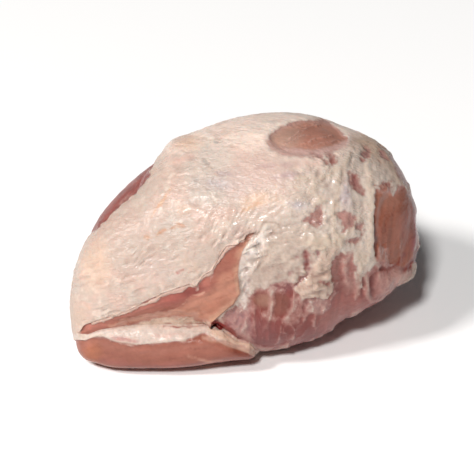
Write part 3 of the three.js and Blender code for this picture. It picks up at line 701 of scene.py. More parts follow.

# The cut face and the fat round it, with painted shade under the fat's edge, low on the face, deep in the
# cleft and along the slab's join to the muscle.
frontMarks["cutFace"] = {
    "usual": {"on": "cut", "soft": 1.4, "ragged": 1},
    "rose": {"outline": [(-112, -60), (-84, -50), (-60, -38), (-30, -28), (-17, -20), (-24, -40),
        (-45, -44), (-70, -54), (-90, -62)], "soft": 3, "ragged": 2, "muscle": "#ad6d5f"},
    "roseRight": {"spot": (-39, -39), "half": (16, 5), "turn": 22, "soft": 4, "amount": 0.8,
        "muscle": "#974e45"},
    "redPatch": {"spot": (-31, -36), "half": (7, 4), "turn": 40, "soft": 2.4, "amount": 0.9,
        "muscle": "#87433b"},
    # painted shadow: a darker band on the cut face just under the fat's edge
    "underFat": {"line": [(-98, -59), (-84, -55), (-60, -44.5), (-48, -38.5), (-33, -34), (-24, -28.5),
        (-17, -24), (-10.5, -12.5), (-3, -6.5), (5, -2)], "half": 0.9, "soft": 1.2, "amount": 0.4,
        "muscle": "#96574b"},
    "orange": {"outline": [(-70, -57), (-50, -51), (-30, -42), (-16, -36), (-12, -26), (-2, -26), (0, -38),
        (-6, -49), (-14, -58), (-45, -62)], "soft": 4, "muscle": "#ad7763"},
    # painted shade: darkens the cut face low down towards its right
    "lowShade": {"spot": (-17, -47), "half": (10, 4), "turn": 20, "soft": 4, "amount": 0.7,
        "muscle": "#99624f"},
    "rim": {"line": [(-16, -57), (-9, -52), (-2, -45), (2, -39), (0.5, -28), (1, -17), (4, -9), (11, 2)],
        "half": (3, 1.4), "soft": 2.2, "amount": 0.8, "muscle": "#b88e76"},
    "flapCream": {"outline": [(-88, -64), (-74, -60), (-61, -56), (-50, -54), (-38, -54.5), (-26, -56),
        (-16, -58), (-20, -60.5), (-40, -61), (-60, -62), (-80, -66)], "soft": 2.2, "ragged": 1.4,
        "cover": 1.15, "frost": 0.25, "fat": "#ccb3a0"},
    "wall": {"line": wallLine, "half": (1.1, 1.4), "on": "all", "soft": 0.8, "ragged": 0.6, "cover": 1.5,
        "fat": "#c9b1a3"},
    "fringe": {"line": wallLine, "half": (0.7, 1.4), "soft": 1.2, "ragged": 1.4, "cover": 1.25,
        "fat": "#c4a597", "rise": 1.2},
    "flapEdge": {"line": [(-86, -60.5), (-75, -57.5), (-62, -54.5), (-45, -51), (-28, -53)], "half": 1.5,
        "soft": 2.2, "cover": 0.35, "muscle": "#bd8b74"},
    "drips": {"line": [(-28, -31), (-28, -34)], "half": 0.8, "cover": 1.2},
    "dripB": {"line": [(-17.5, -26), (-18, -30)], "half": 0.7, "cover": 0.9},
    "bandEdge": {"line": [(-82, -57.5), (-73, -55.2), (-60, -52.2), (-45, -48.2), (-37, -43.6),
        (-30, -38.6)], "half": 0.8, "soft": 1.2, "amount": 0.7, "muscle": "#8c4c41"},
    "bandLight": {"line": [(-84, -59.2), (-75, -57), (-60, -53.8), (-45, -49.8), (-37, -45.2), (-30, -40),
        (-23, -37)], "half": 0.6, "soft": 0.7, "amount": 0.8, "muscle": "#c39480"},
    # painted shade: the darkest spot deep in the cleft, painted dark red
    "darkHole": {"outline": [(-18.5, -58.8), (-15, -57.2), (-10.5, -58.6), (-7.5, -60.8), (-9.5, -62),
        (-14, -61)], "on": "deep", "soft": 0.8, "ragged": 0.4, "cover": -0.9, "muscle": "#741d18"},
    # painted shadow: a thin dark line where the slab meets the muscle below it
    "joinLine": {"line": [(0, -45.5), (-5, -50), (-10, -54), (-13, -57)], "half": 0.3, "on": "all",
        "soft": 0.7, "cover": -0.3, "muscle": "#7b5048"},
}

# The folded-under lip and the shelf behind it, with painted shade along the crease and painted light along
# the lip's top.
frontMarks["lipAndShelf"] = {
    "usual": {"on": "lip", "soft": 1.2, "ragged": 1},
    # painted shade: a dark line along the crease at the back of the shelf
    "fold": {"line": [(-50, -61), (-38, -60.8), (-30, -60.6), (-22, -60)], "half": 0.6, "on": "shelf",
        "soft": 0.8, "fat": "#86433c"},
    "pinkA": {"spot": (-78, -70), "half": (9, 1.6), "turn": -6, "on": "shelf", "fat": "#b58d85"},
    "pinkB": {"spot": (-50, -67), "half": (12, 1.4), "turn": 4, "on": "shelf", "amount": 0.7,
        "fat": "#c4a498"},
    "beige": {"outline": [(-20, -62), (-6, -63), (6, -68), (18, -78), (4, -78), (-14, -69)], "on": "shelf",
        "soft": 2.5, "fat": "#c4a38f"},
    "endMeat": {"outline": [(-22, -69), (-6, -71), (6, -75), (14, -80), (6, -83), (-8, -78), (-22, -74)],
        "on": "shelf", "soft": 2.4, "ragged": 1.4, "cover": 0.1, "frost": 0.1, "muscle": "#bd9c86"},
    "cream": {"line": [(-95, -67.5), (-80, -72), (-67, -74), (-48, -71.5), (-25, -69.5)], "half": (0.8, 1),
        "ragged": 1.4, "amount": 0.8, "cover": 1.1, "fat": "#cdb6a4"},
    "beigeTop": {"outline": [(-24, -67), (-8, -66), (6, -69), (16, -77), (12, -78), (2, -75.5),
        (-14, -71.5)], "soft": 1.6, "cover": 0.6, "muscle": "#a9826c", "fat": "#bb9680"},
    "low": {"line": [(-96, -85), (-60, -90), (-20, -89), (14, -84)], "half": 2.4, "soft": 2.4,
        "muscle": "#8e584e"},
    "rightEnd": {"spot": (8, -82), "half": (16, 6), "soft": 5, "cover": -0.6, "muscle": "#7c3e2f"},
    "orangeLeft": {"spot": (-100, -80), "half": (6, 6), "soft": 4, "amount": 0.7, "muscle": "#a3664b"},
    # painted light: lightens the lip's face along its upper edge
    "topLight": {"line": [(-104, -71), (-84, -76), (-60, -79), (-40, -77), (-20, -74)], "half": 2,
        "soft": 3, "amount": 0.3, "muscle": "#a97465"},
    "streakA": {"line": [(-34, -83), (-22, -86), (-10, -87)], "half": 0.5, "cover": 0.1,
        "muscle": "#b3806c"},
    "endBlob": {"spot": (15, -77.5), "half": (1.6, 2.2), "on": "all", "cover": 0.7, "fat": "#a98d84"},
    "curlEdge": {"line": [(-108.5, -62), (-108.5, -66.5), (-104, -68.5), (-97, -67), (-91, -67.5)],
        "half": (0.9, 0.6), "on": "all", "cover": 1.3, "fat": "#cbb6a6", "rise": 0.5},
}

# Wrinkles of the wet fat: each spot has folds of a length and width that run at an angle to level. "patchy"
# is how much weaker they are in places, and "veil" how much thicker the fat or film lies on a fold; where
# it isn't given it goes by the height.
wrinkles = {
    "leftFat": {"spot": (-75, -5), "half": (48, 60), "turn": 14, "size": (8, 2.2), "height": 0.45,
        "patchy": 0.7},
    "topFat": {"spot": (-15, 45), "half": (45, 32), "turn": 3, "size": (10, 2.1), "height": 0.4,
        "patchy": 0.7},
    "leftLow": {"spot": (-55, -20), "half": (45, 20), "turn": 38, "size": (7, 2.2), "height": 0.3,
        "patchy": 0.7},
    "aboveCut": {"spot": (-3, 7), "half": (24, 15), "turn": 58, "size": (8, 2.4), "height": 0.9},
    "besideCut": {"spot": (10, -7), "half": (10, 15), "turn": 28, "size": (8, 1.9), "height": 2},
    "sheetTop": {"spot": (26, 7), "half": (11, 4), "turn": 12, "size": (4, 1.8), "height": 0.4},
    "lowColumn": {"spot": (5, -36), "half": (6, 16), "turn": 60, "size": (4, 2), "height": 1},
    "sheet": {"spot": (36, -2), "half": (26, 30), "turn": 17, "size": (10, 2.3), "height": 0.8,
        "patchy": 0.4},
    "upperSheet": {"spot": (62, 30), "half": (18, 22), "turn": 40, "size": (8, 2.6), "height": 0.6},
    "clump": {"spot": (54, -29), "half": (16, 14), "turn": 18, "size": (9, 2.2), "height": 0.9,
        "veil": 0.4},
    "rightSheet": {"spot": (82, 18), "half": (26, 44), "turn": 85, "size": (9, 2.6), "height": 0.4},
    "lowerMuscle": {"spot": (48, -55), "half": (44, 22), "turn": 76, "size": (9, 2.6), "height": 0.25,
        "veil": 0.45},
    "lavenderFold": {"spot": (3, -57), "half": (8, 13), "turn": 60, "size": (6, 2.2), "height": 0.8},
}
folding = {"seed": 50, "thin": 2.2, "sunk": 0.2, "patchSize": 16, "patchSeed": 60, "veil": 0.3}

# Which way the fibres of the bare muscles run, in degrees from level as seen, and how well they show.
fibreRuns = {
    "cut": {"turn": 19, "amount": 0.7}, "lip": {"turn": 3, "amount": 0.45},
    "oval": {"turn": 24, "amount": 0.35}, "body": {"turn": 84, "amount": 1, "lessBelow": 0.5},
}
# Lengths and widths of the fibres and of the dark threads between them, in millimetres, with a seed for
# each. On the back they run along the roast, so there a size goes with each axis.
fibreSizes = {
    "fine": {"size": (11, 1.4), "seed": 71, "amount": 0.6},
    "coarse": {"size": (24, 3.4), "seed": 72, "amount": 0.4},
    "thread": {"size": (20, 2.6), "seed": 74, "thin": 3.2},
    "backFine": {"size": (30, 2.6, 2.6), "seed": 76, "amount": 0.6},
    "backCoarse": {"size": (60, 6, 6), "seed": 77, "amount": 0.4},
}
# How frost frays the cover: by lumps and ridges, and in the sheet at the right by strings that hang down.
fraying = {
    "lumps": 0.65, "ridges": {"size": 5, "seed": 44, "thin": 2.6, "amount": 0.35},
    "strings": {"turn": 85, "size": (14, 4.2), "seed": 47, "thin": 2.6, "amount": 0.5, "fewerLumps": 0.35},
}
# Patches of noise: the size of the largest in millimetres, a seed, and the octaves where they aren't three.
noises = {
    "across": (7, 5), "up": (7, 8), "fray": (4.5, 11), "capEdge": (9, 21), "backFilm": (24, 22),
    "seamFat": (11, 23), "under": (18, 24), "blunt": (12, 25), "lumps": (6, 41), "muscle": (9, 73),
    "threads": (14, 75, 1), "swells": (12, 81), "pits": (5.5, 84),
}
wander = 1.3  # millimetres by which the edges of the marks stray

# The skin before the marks, in the same words as theirs; "patches" is how much noise varies the cover.
layers = {
    "cap": {"cover": 1.9, "frost": 0.15},
    "back": {"cover": -0.35, "patches": 0.75, "frost": 0.4, "muscle": "#8d5a54"},
    "seam": {"cover": 1.5, "half": 0.05},
    "under": {"cover": -0.4, "patches": 0.5, "muscle": "#8f5f5a"},
    "blunt": {"cover": 0.5, "patches": 0.9},
    "cut": {"cover": -0.6, "frost": 0.08, "muscle": "#945c4e"},
    "lip": {"cover": -0.6, "frost": 0.08, "muscle": "#925a4b"},
    "shelf": {"cover": 1.6, "frost": 0.3},
    "shelfTint": {"on": "shelf", "amount": 0.8, "fat": "#c9b8ad"},
}
# How far fibres, patches, threads, grooves, crumbs and folds darken or lighten what they lie in, and how
# wet the meat is: where it is plain, where it is frosty, bare or folded, and how much less on the back. The
# grooves' darkening and the folds' lighter crests and darker hollows are painted shade and painted light.
tints = {
    "fibres": 0.3, "muscle": 0.12, "threads": (0.82, 0.68, 0.68), "groove": 0.3, "crumbs": 0.05,
    "folds": 0.12,
}
wetness = {"least": 0.32, "frosty": 0.33, "bare": 0.24, "folds": 0.7, "foldTop": 0.7, "lessOnBack": 0.4}
# Heights of the relief in millimetres, and the share of it that is left where only film lies.
relief = {
    "perCover": 0.7, "coverEnds": (-0.4, 1.9), "base": -1.3, "cut": -0.3, "back": 1.3, "fibres": 0.12,
    "swells": 0.3, "pits": 0.3, "pitsCalmed": 0.7, "foldsOnFilm": 0.4, "lumpsOnFilm": 0.15,
}


def fractal(p, size, seed, octaves=3, fade=0.55, gain=1.6):
    # octaves of soft noise, each half the size and a little over half the height of the one before
    heights = fade ** np.arange(octaves)
    total = sum(height * softNoise(p, size / 2**k, seed + k) for k, height in enumerate(heights))
    return total / heights.sum() * gain


def patchesOf(name, p):
    # the fractal noise that a name stands for
    return fractal(p, *noises[name])


def turned(a, h, degrees):
    # coordinates along and across a direction on the sight plane
    turn = math.radians(degrees)
    return a * math.cos(turn) + h * math.sin(turn), h * math.cos(turn) - a * math.sin(turn)


def stretched(a, h, degrees, length, width, seed):
    # soft noise drawn out along a direction
    along, across = turned(a, h, degrees)
    return softNoise(np.stack([along / length, across / width, np.zeros_like(a)], -1), 1, seed)


def crests(noise, thin):
    # thin ridges, 1 high, along the lines where a noise crosses nought
    return 1 - thin * np.abs(noise)


def roundedLine(points, closed):
    # Catmull-Rom curve with three steps between points
    points, steps = np.asarray(points, float), 3
    count = len(points) if closed else len(points) - 1
    s = np.arange(count * steps + (0 if closed else 1)) / steps
    i = np.floor(s).astype(int) if closed else np.minimum(np.floor(s).astype(int), count - 1)
    places = [(i + k) % count if closed else np.clip(i + k, 0, count) for k in (-1, 0, 1, 2)]
    return catmullRom(*(points[place] for place in places), (s - i)[:, None])


def insideDepth(mark, a, h):
    # millimetres inside a mark's edge, negative outside
    if "outline" in mark:
        points = roundedLine(mark["outline"], True)
        points = np.concatenate([points, points[:1]])
        inside = np.zeros(np.shape(a), bool)
        for (a0, h0), (a1, h1) in zip(points[:-1], points[1:]):
            if h0 != h1:
                inside ^= ((h0 > h) != (h1 > h)) & (a < a0 + (a1 - a0) * (h - h0) / (h1 - h0))
        return np.where(inside, 1, -1) * distanceTo(points, a, h)[0]
    if "line" in mark:
        distance, along = distanceTo(roundedLine(mark["line"], False), a, h)
        first, last = mark["half"] if isinstance(mark["half"], tuple) else (mark["half"], mark["half"])
        return mixed(first, last, along) - distance
    across, up = turned(a - mark["spot"][0], h - mark["spot"][1], mark.get("turn", 0))
    r = np.hypot(across / mark["half"][0], up / mark["half"][1])
    return (1 - r) * min(mark["half"])


def mixColours(colours, hexColour, share):
    # a hex colour mixed into linear ones by its share
    return mixed(colours, linear(hexColour), share[..., None])


def roastRegions(p, u, v):
    # shares, 0 to 1, and normals: "cut", "shelf", "lip" and the "body" round them make up "all" of the
    # front, "deep" reaches into the cleft as well, and "back", "under" and "blunt" are out of sight
    baseA, baseH = onSightPlane(*envelope(u, v))
    normal = gridNormals(p)
    half = past("over", v) * (1 - past("below", v))
    front = past("facing", normal @ toCamera) * half
    onFront = past("turn", -np.cos(v)) * front
    underFat, onSlab, aboveFoot = cutFields(baseA, baseH)
    cutFace = underFat * onSlab * aboveFoot * onFront * (baseA < fatEnd) * past("cutStart", baseA)
    upper = past("overLip", baseH - lipHeight(baseA))
    shelf = (1 - aboveFoot) * upper * onFront * (1 - past("shelfEnd", baseA))
    lip = (1 - aboveFoot) * (1 - upper) * past("lipRound", v) * (1 - past("lipEnd", baseA))
    cap = capEdge(u)
    strayed = v - cap - back["edgeStray"] * patchesOf("capEdge", p)
    under = past("under", v) * past("underAlong", u) + 1 - past("underBack", v)
    return {
        "cut": cutFace, "shelf": shelf, "lip": lip, "body": front * (1 - cutFace) * (1 - shelf) * (1 - lip),
        "all": front, "deep": half * past("turn", -np.cos(v)),
        "back": 1 - smoothstep(-1, 1, strayed / capSpread(u)), "under": np.clip(under, 0, 1),
        "blunt": past("blunt", u) * (1 - front) * (v > cap),
    }, normal


def layOn(skin, mark, share):
    # mixes what a mark gives into the skin by its share, and adds up what it lifts
    for key in ("cover", "frost", "calm"):
        if key in mark:
            skin[key] = mixed(skin[key], mark[key], share)
    for key in ("fat", "muscle"):
        if key in mark:
            skin[key] = mixColours(skin[key], mark[key], share)
    skin["rise"] = skin["rise"] + mark.get("rise", 0) * share


def layeredSkin(p, u, v, h, region):
    # mottled fat over muscle, then the back with a film here and there and fat in its seam, the underside,
    # the blunt end, the cut, the lip and the shelf
    still = np.zeros(h.shape)
    fat = mixed(linear(meatColours["fat"]), linear(meatColours["fatTop"]), past("paleTop", h)[..., None])
    skin = {"cover": still + layers["cap"]["cover"], "frost": still + layers["cap"]["frost"], "calm": still,
            "rise": still, "fat": fat, "muscle": np.broadcast_to(linear(meatColours["muscle"]), fat.shape)}
    for patch in fatMottle.values():
        noise = fractal(p, patch["size"], patch["seed"])
        layOn(skin, patch, patch["amount"] * smoothstep(*patch["from"], noise))
    varied = {
        "back": past("film", patchesOf("backFilm", p)), "under": patchesOf("under", p),
        "blunt": patchesOf("blunt", p)}
    seam = np.exp(-((v - guideAt(back["seamAngle"], u)) / layers["seam"]["half"]) ** 2)
    seamFat = layers["seam"]["cover"] * seam * past("seamFat", patchesOf("seamFat", p))
    for name in ("back", "under", "blunt", "cut", "lip", "shelf", "shelfTint"):
        layer = dict(layers[name])
        if name in varied:
            layer["cover"] = layer["cover"] + layer["patches"] * varied[name]
        if name == "back":
            layer["cover"] = layer["cover"] + seamFat
        layOn(skin, layer, region[layer.get("on", name)] * layer.get("amount", 1))
    return skin


def foldsIn(p, a, h, shown):
    # wrinkles, as crests of drawn-out noise in soft-edged spots, and what they add to the cover
    folds, veil = np.zeros(a.shape), np.zeros(a.shape)
    for k, patch in enumerate(wrinkles.values()):
        share = past("wrinkles", insideDepth({"spot": patch["spot"], "half": patch["half"]}, a, h))
        noise = stretched(a, h, patch["turn"], *patch["size"], folding["seed"] + k)
        crest = crests(noise, folding["thin"]) - folding["sunk"]
        gaps = past("patchy", fractal(p, folding["patchSize"], folding["patchSeed"] + k, 2))
        patchy = 1 - patch.get("patchy", 0) * gaps
        fold = crest * share * patchy * shown
        folds = folds + patch["height"] * fold
        veil = veil + patch.get("veil", folding["veil"] * patch["height"]) * fold
    return folds, veil


def crumblyCover(p, a, h, wa, wh):
    # the crust of lumps and ridges, and the same with strings where the sheet is stringy
    ridges, strings = fraying["ridges"], fraying["strings"]
    crust = (fraying["lumps"] * patchesOf("lumps", p)
             + ridges["amount"] * crests(softNoise(p, ridges["size"], ridges["seed"]), ridges["thin"]))
    stringy = past("stringyAcross", a) * past("stringyUp", h)
    hanging = crests(stretched(wa, wh, strings["turn"], *strings["size"], strings["seed"]), strings["thin"])
    frayed = crust * (1 - strings["fewerLumps"] * stringy) + strings["amount"] * hanging * stringy
    return crust, frayed


def fibresIn(p, a, h, wa, wh, region):
    # light and dark along the muscles' fibres, -1 to 1, and the share of dark threads between them
    fibres, threads = np.zeros(a.shape), np.zeros(a.shape)
    upper, low = past("oval", h), fibreRuns["body"]["lessBelow"] * past("lowMuscle", h)
    shown = {"cut": region["cut"], "lip": region["lip"], "oval": region["body"] * upper,
             "body": region["body"] * (1 - upper) * (1 - region["back"]) * (1 - low)}
    fine, coarse, thread = (fibreSizes[name] for name in ("fine", "coarse", "thread"))
    for name, run in fibreRuns.items():
        share, turn = run["amount"] * shown[name], run["turn"]
        fibres = fibres + share * (
            fine["amount"] * stretched(a, h, turn, *fine["size"], fine["seed"])
            + coarse["amount"] * stretched(wa, wh, turn, *coarse["size"], coarse["seed"]))
        lines = crests(stretched(wa, wh, turn, *thread["size"], thread["seed"]), thread["thin"])
        threads = threads + share * past("thread", lines) * past("threads", patchesOf("threads", p))
    for scale in (fibreSizes["backFine"], fibreSizes["backCoarse"]):
        grain = softNoise(p / np.array(scale["size"]), 1, scale["seed"])
        fibres = fibres + region["back"] * scale["amount"] * grain
    return fibres, threads


def paintedRoast(p, u, v):
    # lays fat of some thickness on the muscles; gives the points with their relief, and for each the tints
    # of its muscle and fat, how thick and how uneven its cover is, and how wet it is
    a, h = onSightPlane(p[..., 0], p[..., 1], p[..., 2])
    region, normal = roastRegions(p, u, v)
    wa, wh = a + wander * patchesOf("across", p), h + wander * patchesOf("up", p)
    fray = patchesOf("fray", p)
    skin = layeredSkin(p, u, v, h, region)
    for group in frontMarks.values():
        for mark in ({**group["usual"], **mark} for name, mark in group.items() if name != "usual"):
            inside = insideDepth(mark, wa, wh) + mark["ragged"] * fray
            share = smoothstep(-mark["soft"], mark["soft"], inside) * mark.get("amount", 1)
            layOn(skin, mark, share * region[mark.get("on", "body")])
    folds, veil = foldsIn(p, wa, wh, region["body"] * (1 - skin["calm"]))
    crust, frayed = crumblyCover(p, a, h, wa, wh)
    frost, cover = skin["frost"], skin["cover"] + skin["frost"] * frayed + veil
    fatShare = past("fatty", cover)

    fibres, threads = fibresIn(p, a, h, wa, wh, region)
    shade = 1 + tints["fibres"] * fibres + tints["muscle"] * patchesOf("muscle", p)
    muscle = skin["muscle"] * shade[..., None]
    muscle = mixed(muscle, muscle * np.array(tints["threads"]), threads[..., None])
    # painted shade and light: the fat darkens towards the groove colour in the grooves between folds, and is
    # lighter on the crests and darker in the hollows
    fat = mixColours(skin["fat"], meatColours["groove"], tints["groove"] * past("groove", folds))
    fat = fat * (1 + tints["crumbs"] * crust * past("crumbly", frost) + tints["folds"] * folds)[..., None]

    wet = wetness["least"] + wetness["frosty"] * past("frosty", frost) + wetness["bare"] * (1 - fatShare)
    wet = wet + wetness["folds"] * np.clip(folds, 0, wetness["foldTop"])
    wet = np.clip(wet * (1 - wetness["lessOnBack"] * region["back"]), 0, 1)

    pits = relief["pits"] * patchesOf("pits", p) * (1 - relief["pitsCalmed"] * skin["calm"])
    lumps = relief["swells"] * patchesOf("swells", p) + pits
    depth = relief["perCover"] * np.clip(cover, *relief["coverEnds"]) + relief["base"]
    rise = skin["rise"] + mixed(depth, relief["cut"], region["cut"]) + relief["back"] * region["back"]
    rise = rise + folds * mixed(relief["foldsOnFilm"], 1, fatShare)
    rise = rise + lumps * mixed(relief["lumpsOnFilm"], 1, fatShare)
    rise = rise + relief["fibres"] * fibres * (1 - fatShare)
    ends = past("tips", u) * past("tips", 1 - u)
    return p + normal * (rise * ends)[..., None], {
        "muscleTint": np.clip(muscle, 0, 1), "fatTint": np.clip(fat, 0, 1), "cover": cover, "frost": frost,
        "wet": wet}


def meshFromGrid(name, p, attributes):
    # rings of points joined by four-sided faces, closed by a fan of triangles on a point at each end
    rows, columns = p.shape[:2]
    poles = surface(np.array([[0.0], [1.0]]), np.zeros((2, 1)))[:, 0]
    points = np.concatenate([p.reshape(-1, 3), poles]) / 1000
    j = np.arange(columns)
    k = (j + 1) % columns
    ring = np.arange(rows - 1)[:, None] * columns
    quads = np.stack([ring + j, ring + k, ring + columns + k, ring + columns + j], -1).reshape(-1, 4)
    last = (rows - 1) * columns
    fans = np.concatenate([
        np.stack([np.full(columns, rows * columns), k, j], -1),
        np.stack([last + j, last + k, np.full(columns, rows * columns + 1)], -1)])
    mesh = bpy.data.meshes.new(name)
    mesh.vertices.add(len(points))
    mesh.vertices.foreach_set("co", points.ravel())
    loops = np.concatenate([quads.ravel(), fans.ravel()])
    starts = np.concatenate([np.arange(len(quads)) * 4, len(quads) * 4 + np.arange(len(fans)) * 3])
    mesh.loops.add(len(loops))
    mesh.loops.foreach_set("vertex_index", loops)
    mesh.polygons.add(len(starts))
    mesh.polygons.foreach_set("loop_start", starts)
    mesh.update(calc_edges=True)
    mesh.validate()
    mesh.shade_smooth()
    for key, values in attributes.items():
        ends = values[[0, -1]].mean(axis=1)
        flat = np.concatenate([values.reshape((-1,) + values.shape[2:]), ends])
        if flat.ndim == 2:
            layer = mesh.attributes.new(key, "FLOAT_COLOR", "POINT")
            layer.data.foreach_set("color", np.concatenate([flat, np.ones((len(flat), 1))], axis=1).ravel())
        else:
            layer = mesh.attributes.new(key, "FLOAT", "POINT")
            layer.data.foreach_set("value", flat)
    piece = bpy.data.objects.new(name, mesh)
    bpy.context.scene.collection.objects.link(piece)
    return piece


def addNode(tree, kind, settings, links, out=0):
    # one node with its settings and its inputs, each a fixed value or another node's output
    node = tree.nodes.new("ShaderNode" + kind)
    for key, value in settings.items():
        setattr(node, key, value)
    for key, value in links.items():
        if isinstance(value, bpy.types.NodeSocket):
            tree.links.new(value, node.inputs[key])
        else:
            node.inputs[key].default_value = value
    return node.outputs[out] if len(node.outputs) else None


# Moist raw pork as it is cut: sizes in millimetres first, then ranges under the sockets' own names.
moistMeat = {
    "crumbSize": 2.5, "foldSize": 2.94, "foldStretch": (0.55, 1.0, 1.1), "foldHeight": 0.9,
    "foldWarp": 0.8, "patchSize": 18.2, "scatterSize": 2.2,
    "crumbDetail": 1.5, "leastFrost": 0.12, "crumbsInFolds": 0.3,
    "lift": {"From Min": 0.25, "From Max": 0.75, "To Min": -0.45, "To Max": 0.45},
    "film": {"From Min": -0.3, "From Max": 0.5, "To Max": 0.55},
    "thinFat": {"From Min": 0.3, "From Max": 1.3, "To Max": 0.92},
    "thickFat": {"From Min": 1.0, "From Max": 1.9, "To Max": 1.0},
    "fatTones": {"thinFat": 0.9, "thickFat": 1.04},
    "tone": {"From Min": 0.3, "From Max": 0.7, "To Min": 0.95, "To Max": 1.05},
    "patchy": {"From Min": 0.35, "From Max": 0.65, "To Min": 0.25, "To Max": 1.0},
    "shallow": {"From Min": -0.4, "From Max": 1.0, "To Min": 0.5, "To Max": 1.0},
    "gloss": {"From Min": 0.3, "From Max": 0.9, "To Min": 0.29, "To Max": 0.15},
    "shader": {
        "Roughness": 0.55, "IOR": 1.4, "Specular IOR Level": 0.15, "Subsurface Weight": 0.25,
        "Subsurface Radius": (1.0, 0.45, 0.3), "Coat IOR": 1.42},
}


def meatMaterial():
    # a pale film and then fat lie over the muscle as the cover grows, so the eye sees meat through a thin
    # skin; crumbs of fat fray it, fine folds wrinkle it in patches, and a wet coat gives the small lights
    material = bpy.data.materials.new("moistMeat")
    material.use_nodes = True
    tree = material.node_tree
    tree.nodes.clear()
    place = addNode(tree, "TexCoord", {}, {}, "Object")
    muscle, fat = (addNode(tree, "Attribute", {"attribute_name": name}, {}, "Color")
                   for name in ("muscleTint", "fatTint"))
    cover, frost, wet = (addNode(tree, "Attribute", {"attribute_name": name}, {}, "Fac")
                         for name in ("cover", "frost", "wet"))

    # colour, by how thick the cover is
    crumbs = addNode(tree, "TexNoise", {}, {
        "Vector": place, "Scale": 1000 / moistMeat["crumbSize"], "Detail": moistMeat["crumbDetail"]})
    lift = addNode(tree, "MapRange", {}, {"Value": crumbs, **moistMeat["lift"]})
    frosty = addNode(tree, "Math", {"operation": "ADD"}, {0: frost, 1: moistMeat["leastFrost"]})
    thickness = addNode(tree, "Math", {"operation": "MULTIPLY_ADD"}, {0: lift, 1: frosty, 2: cover})
    laid = {"film": (*linear(meatColours["film"]), 1)}
    for name, fatTone in moistMeat["fatTones"].items():
        laid[name] = addNode(tree, "VectorMath", {"operation": "SCALE"}, {0: fat, "Scale": fatTone})
    colour = muscle
    for name, skin in laid.items():
        share = addNode(tree, "MapRange", {"interpolation_type": "SMOOTHSTEP"}, {
            "Value": thickness, **moistMeat[name]})
        colour = addNode(tree, "Mix", {"data_type": "RGBA"}, {0: share, 6: colour, 7: skin}, 2)
    tone = addNode(tree, "MapRange", {}, {"Value": crumbs, **moistMeat["tone"]})
    varied = addNode(tree, "VectorMath", {"operation": "SCALE"}, {0: colour, "Scale": tone})

    # fine relief, deep in some patches and shallow where the muscle is bare
    drawnOut = addNode(tree, "Mapping", {}, {"Vector": place, "Scale": moistMeat["foldStretch"]})
    folds = addNode(tree, "TexNoise", {}, {
        "Vector": drawnOut, "Scale": 1000 / moistMeat["foldSize"], "Detail": 1,
        "Distortion": moistMeat["foldWarp"]})
    patches = addNode(tree, "TexNoise", {}, {
        "Vector": place, "Scale": 1000 / moistMeat["patchSize"], "Detail": 1})
    strength = addNode(tree, "MapRange", {}, {"Value": patches, **moistMeat["patchy"]})
    grain = addNode(tree, "Math", {"operation": "MULTIPLY_ADD"}, {
        0: crumbs, 1: moistMeat["crumbsInFolds"], 2: folds})
    shallow = addNode(tree, "MapRange", {}, {"Value": cover, **moistMeat["shallow"]})
    height = addNode(tree, "Math", {"operation": "MULTIPLY"}, {0: grain, 1: shallow})
    bump = addNode(tree, "Bump", {}, {
        "Strength": strength, "Distance": moistMeat["foldHeight"] / 1000, "Height": height})
    gloss = addNode(tree, "MapRange", {}, {"Value": wet, **moistMeat["gloss"]})
    shader = addNode(tree, "BsdfPrincipled", {}, {
        **moistMeat["shader"], "Subsurface Scale": moistMeat["scatterSize"] / 1000, "Base Color": varied,
        "Coat Weight": wet, "Coat Roughness": gloss, "Normal": bump, "Coat Normal": bump})
    addNode(tree, "OutputMaterial", {}, {"Surface": shader})
    return material


u, v = roastGrid()
base = surface(u, v)
print("roast grid", base.shape)
points, paint = paintedRoast(base, u, v)
print("marks, wrinkles and fibres laid on", len(frontMarks), "groups of marks")
low, high = points.min(axis=(0, 1)), points.max(axis=(0, 1))
low[2] = 0  # the ground
points[..., 2] = np.maximum(points[..., 2], 0)
boxLow, boxHigh = (np.array(corner) * 1000 for corner in cadBox)
points = boxLow + (points - low) * (boxHigh - boxLow) / (high - low)  # keeps the part's own size
roast = meshFromGrid("roast", points, paint)
roast.data.materials.append(meatMaterial())
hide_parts("pork_leg_roast")
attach(roast, "root")
print("roast mesh", len(roast.data.vertices), "points", len(roast.data.polygons), "faces")

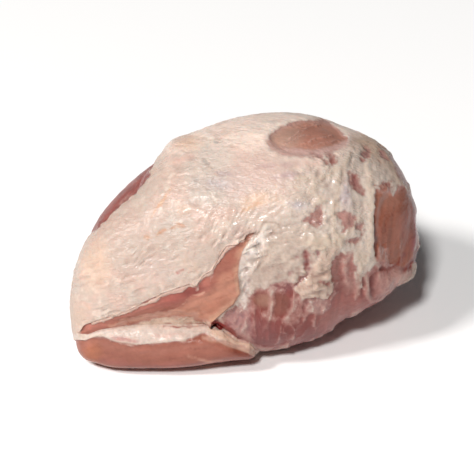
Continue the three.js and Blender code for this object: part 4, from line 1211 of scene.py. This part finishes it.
# A white floor, a little white light from all round, and two lamps at the upper left, in metres.
studio = {
    "floorHalf": 4.0, "colour": "#ffffff", "floorRoughness": 0.9, "floorSpecular": 0.1,
    "worldStrength": 0.08, "lampAim": (0, 0, 0.06),
}
lamps = {
    "key": {"from": (-5.42, -3.13, 6.53), "size": 1.5, "power": 525, "colour": (1.0, 0.98, 0.96)},
    "front": {"from": (-1.34, -4.67, 5.1), "size": 0.9, "power": 375, "colour": (1.0, 0.99, 0.98)},
}
white = (*linear(studio["colour"]), 1)
across = studio["floorHalf"]
floorMesh = bpy.data.meshes.new("floor")
corners = [(-across, -across, 0), (across, -across, 0), (across, across, 0), (-across, across, 0)]
floorMesh.from_pydata(corners, [], [(0, 1, 2, 3)])
floor = bpy.data.objects.new("floor", floorMesh)
bpy.context.scene.collection.objects.link(floor)
floorMaterial = bpy.data.materials.new("whiteFloor")
floorMaterial.use_nodes = True
floorShader = floorMaterial.node_tree.nodes["Principled BSDF"].inputs
floorShader["Base Color"].default_value = white
floorShader["Roughness"].default_value = studio["floorRoughness"]
floorShader["Specular IOR Level"].default_value = studio["floorSpecular"]
floorMesh.materials.append(floorMaterial)

world = bpy.data.worlds.new("studio")
bpy.context.scene.world = world
world.use_nodes = True
worldLight = world.node_tree.nodes["Background"].inputs
worldLight["Color"].default_value = white
worldLight["Strength"].default_value = studio["worldStrength"]

for name, lamp in lamps.items():
    data = bpy.data.lights.new(name, "AREA")
    data.size, data.energy, data.color = lamp["size"], lamp["power"], lamp["colour"]
    light = bpy.data.objects.new(name, data)
    light.location = lamp["from"]
    light.rotation_euler = (Vector(studio["lampAim"]) - light.location).to_track_quat("-Z", "Y").to_euler()
    bpy.context.scene.collection.objects.link(light)

# the camera stands back along the line of sight, and its lens takes in as much as the photo does
cameraData = bpy.data.cameras.new("camera")
cameraData.sensor_width = sight["sensor"]
cameraData.lens = sight["sensor"] * sight["distance"] * sight["pixelsPerMillimetre"] / sight["pixels"]
camera = bpy.data.objects.new("camera", cameraData)
camera.location = Vector(sight["aim"]) / 1000 + Vector(toCamera) * (sight["distance"] / 1000)
camera.rotation_euler = (math.pi / 2 - sight["elevation"], 0, 0)
bpy.context.scene.collection.objects.link(camera)
bpy.context.scene.camera = camera
bpy.context.scene.view_settings.view_transform = "Standard"
print("studio and camera placed")
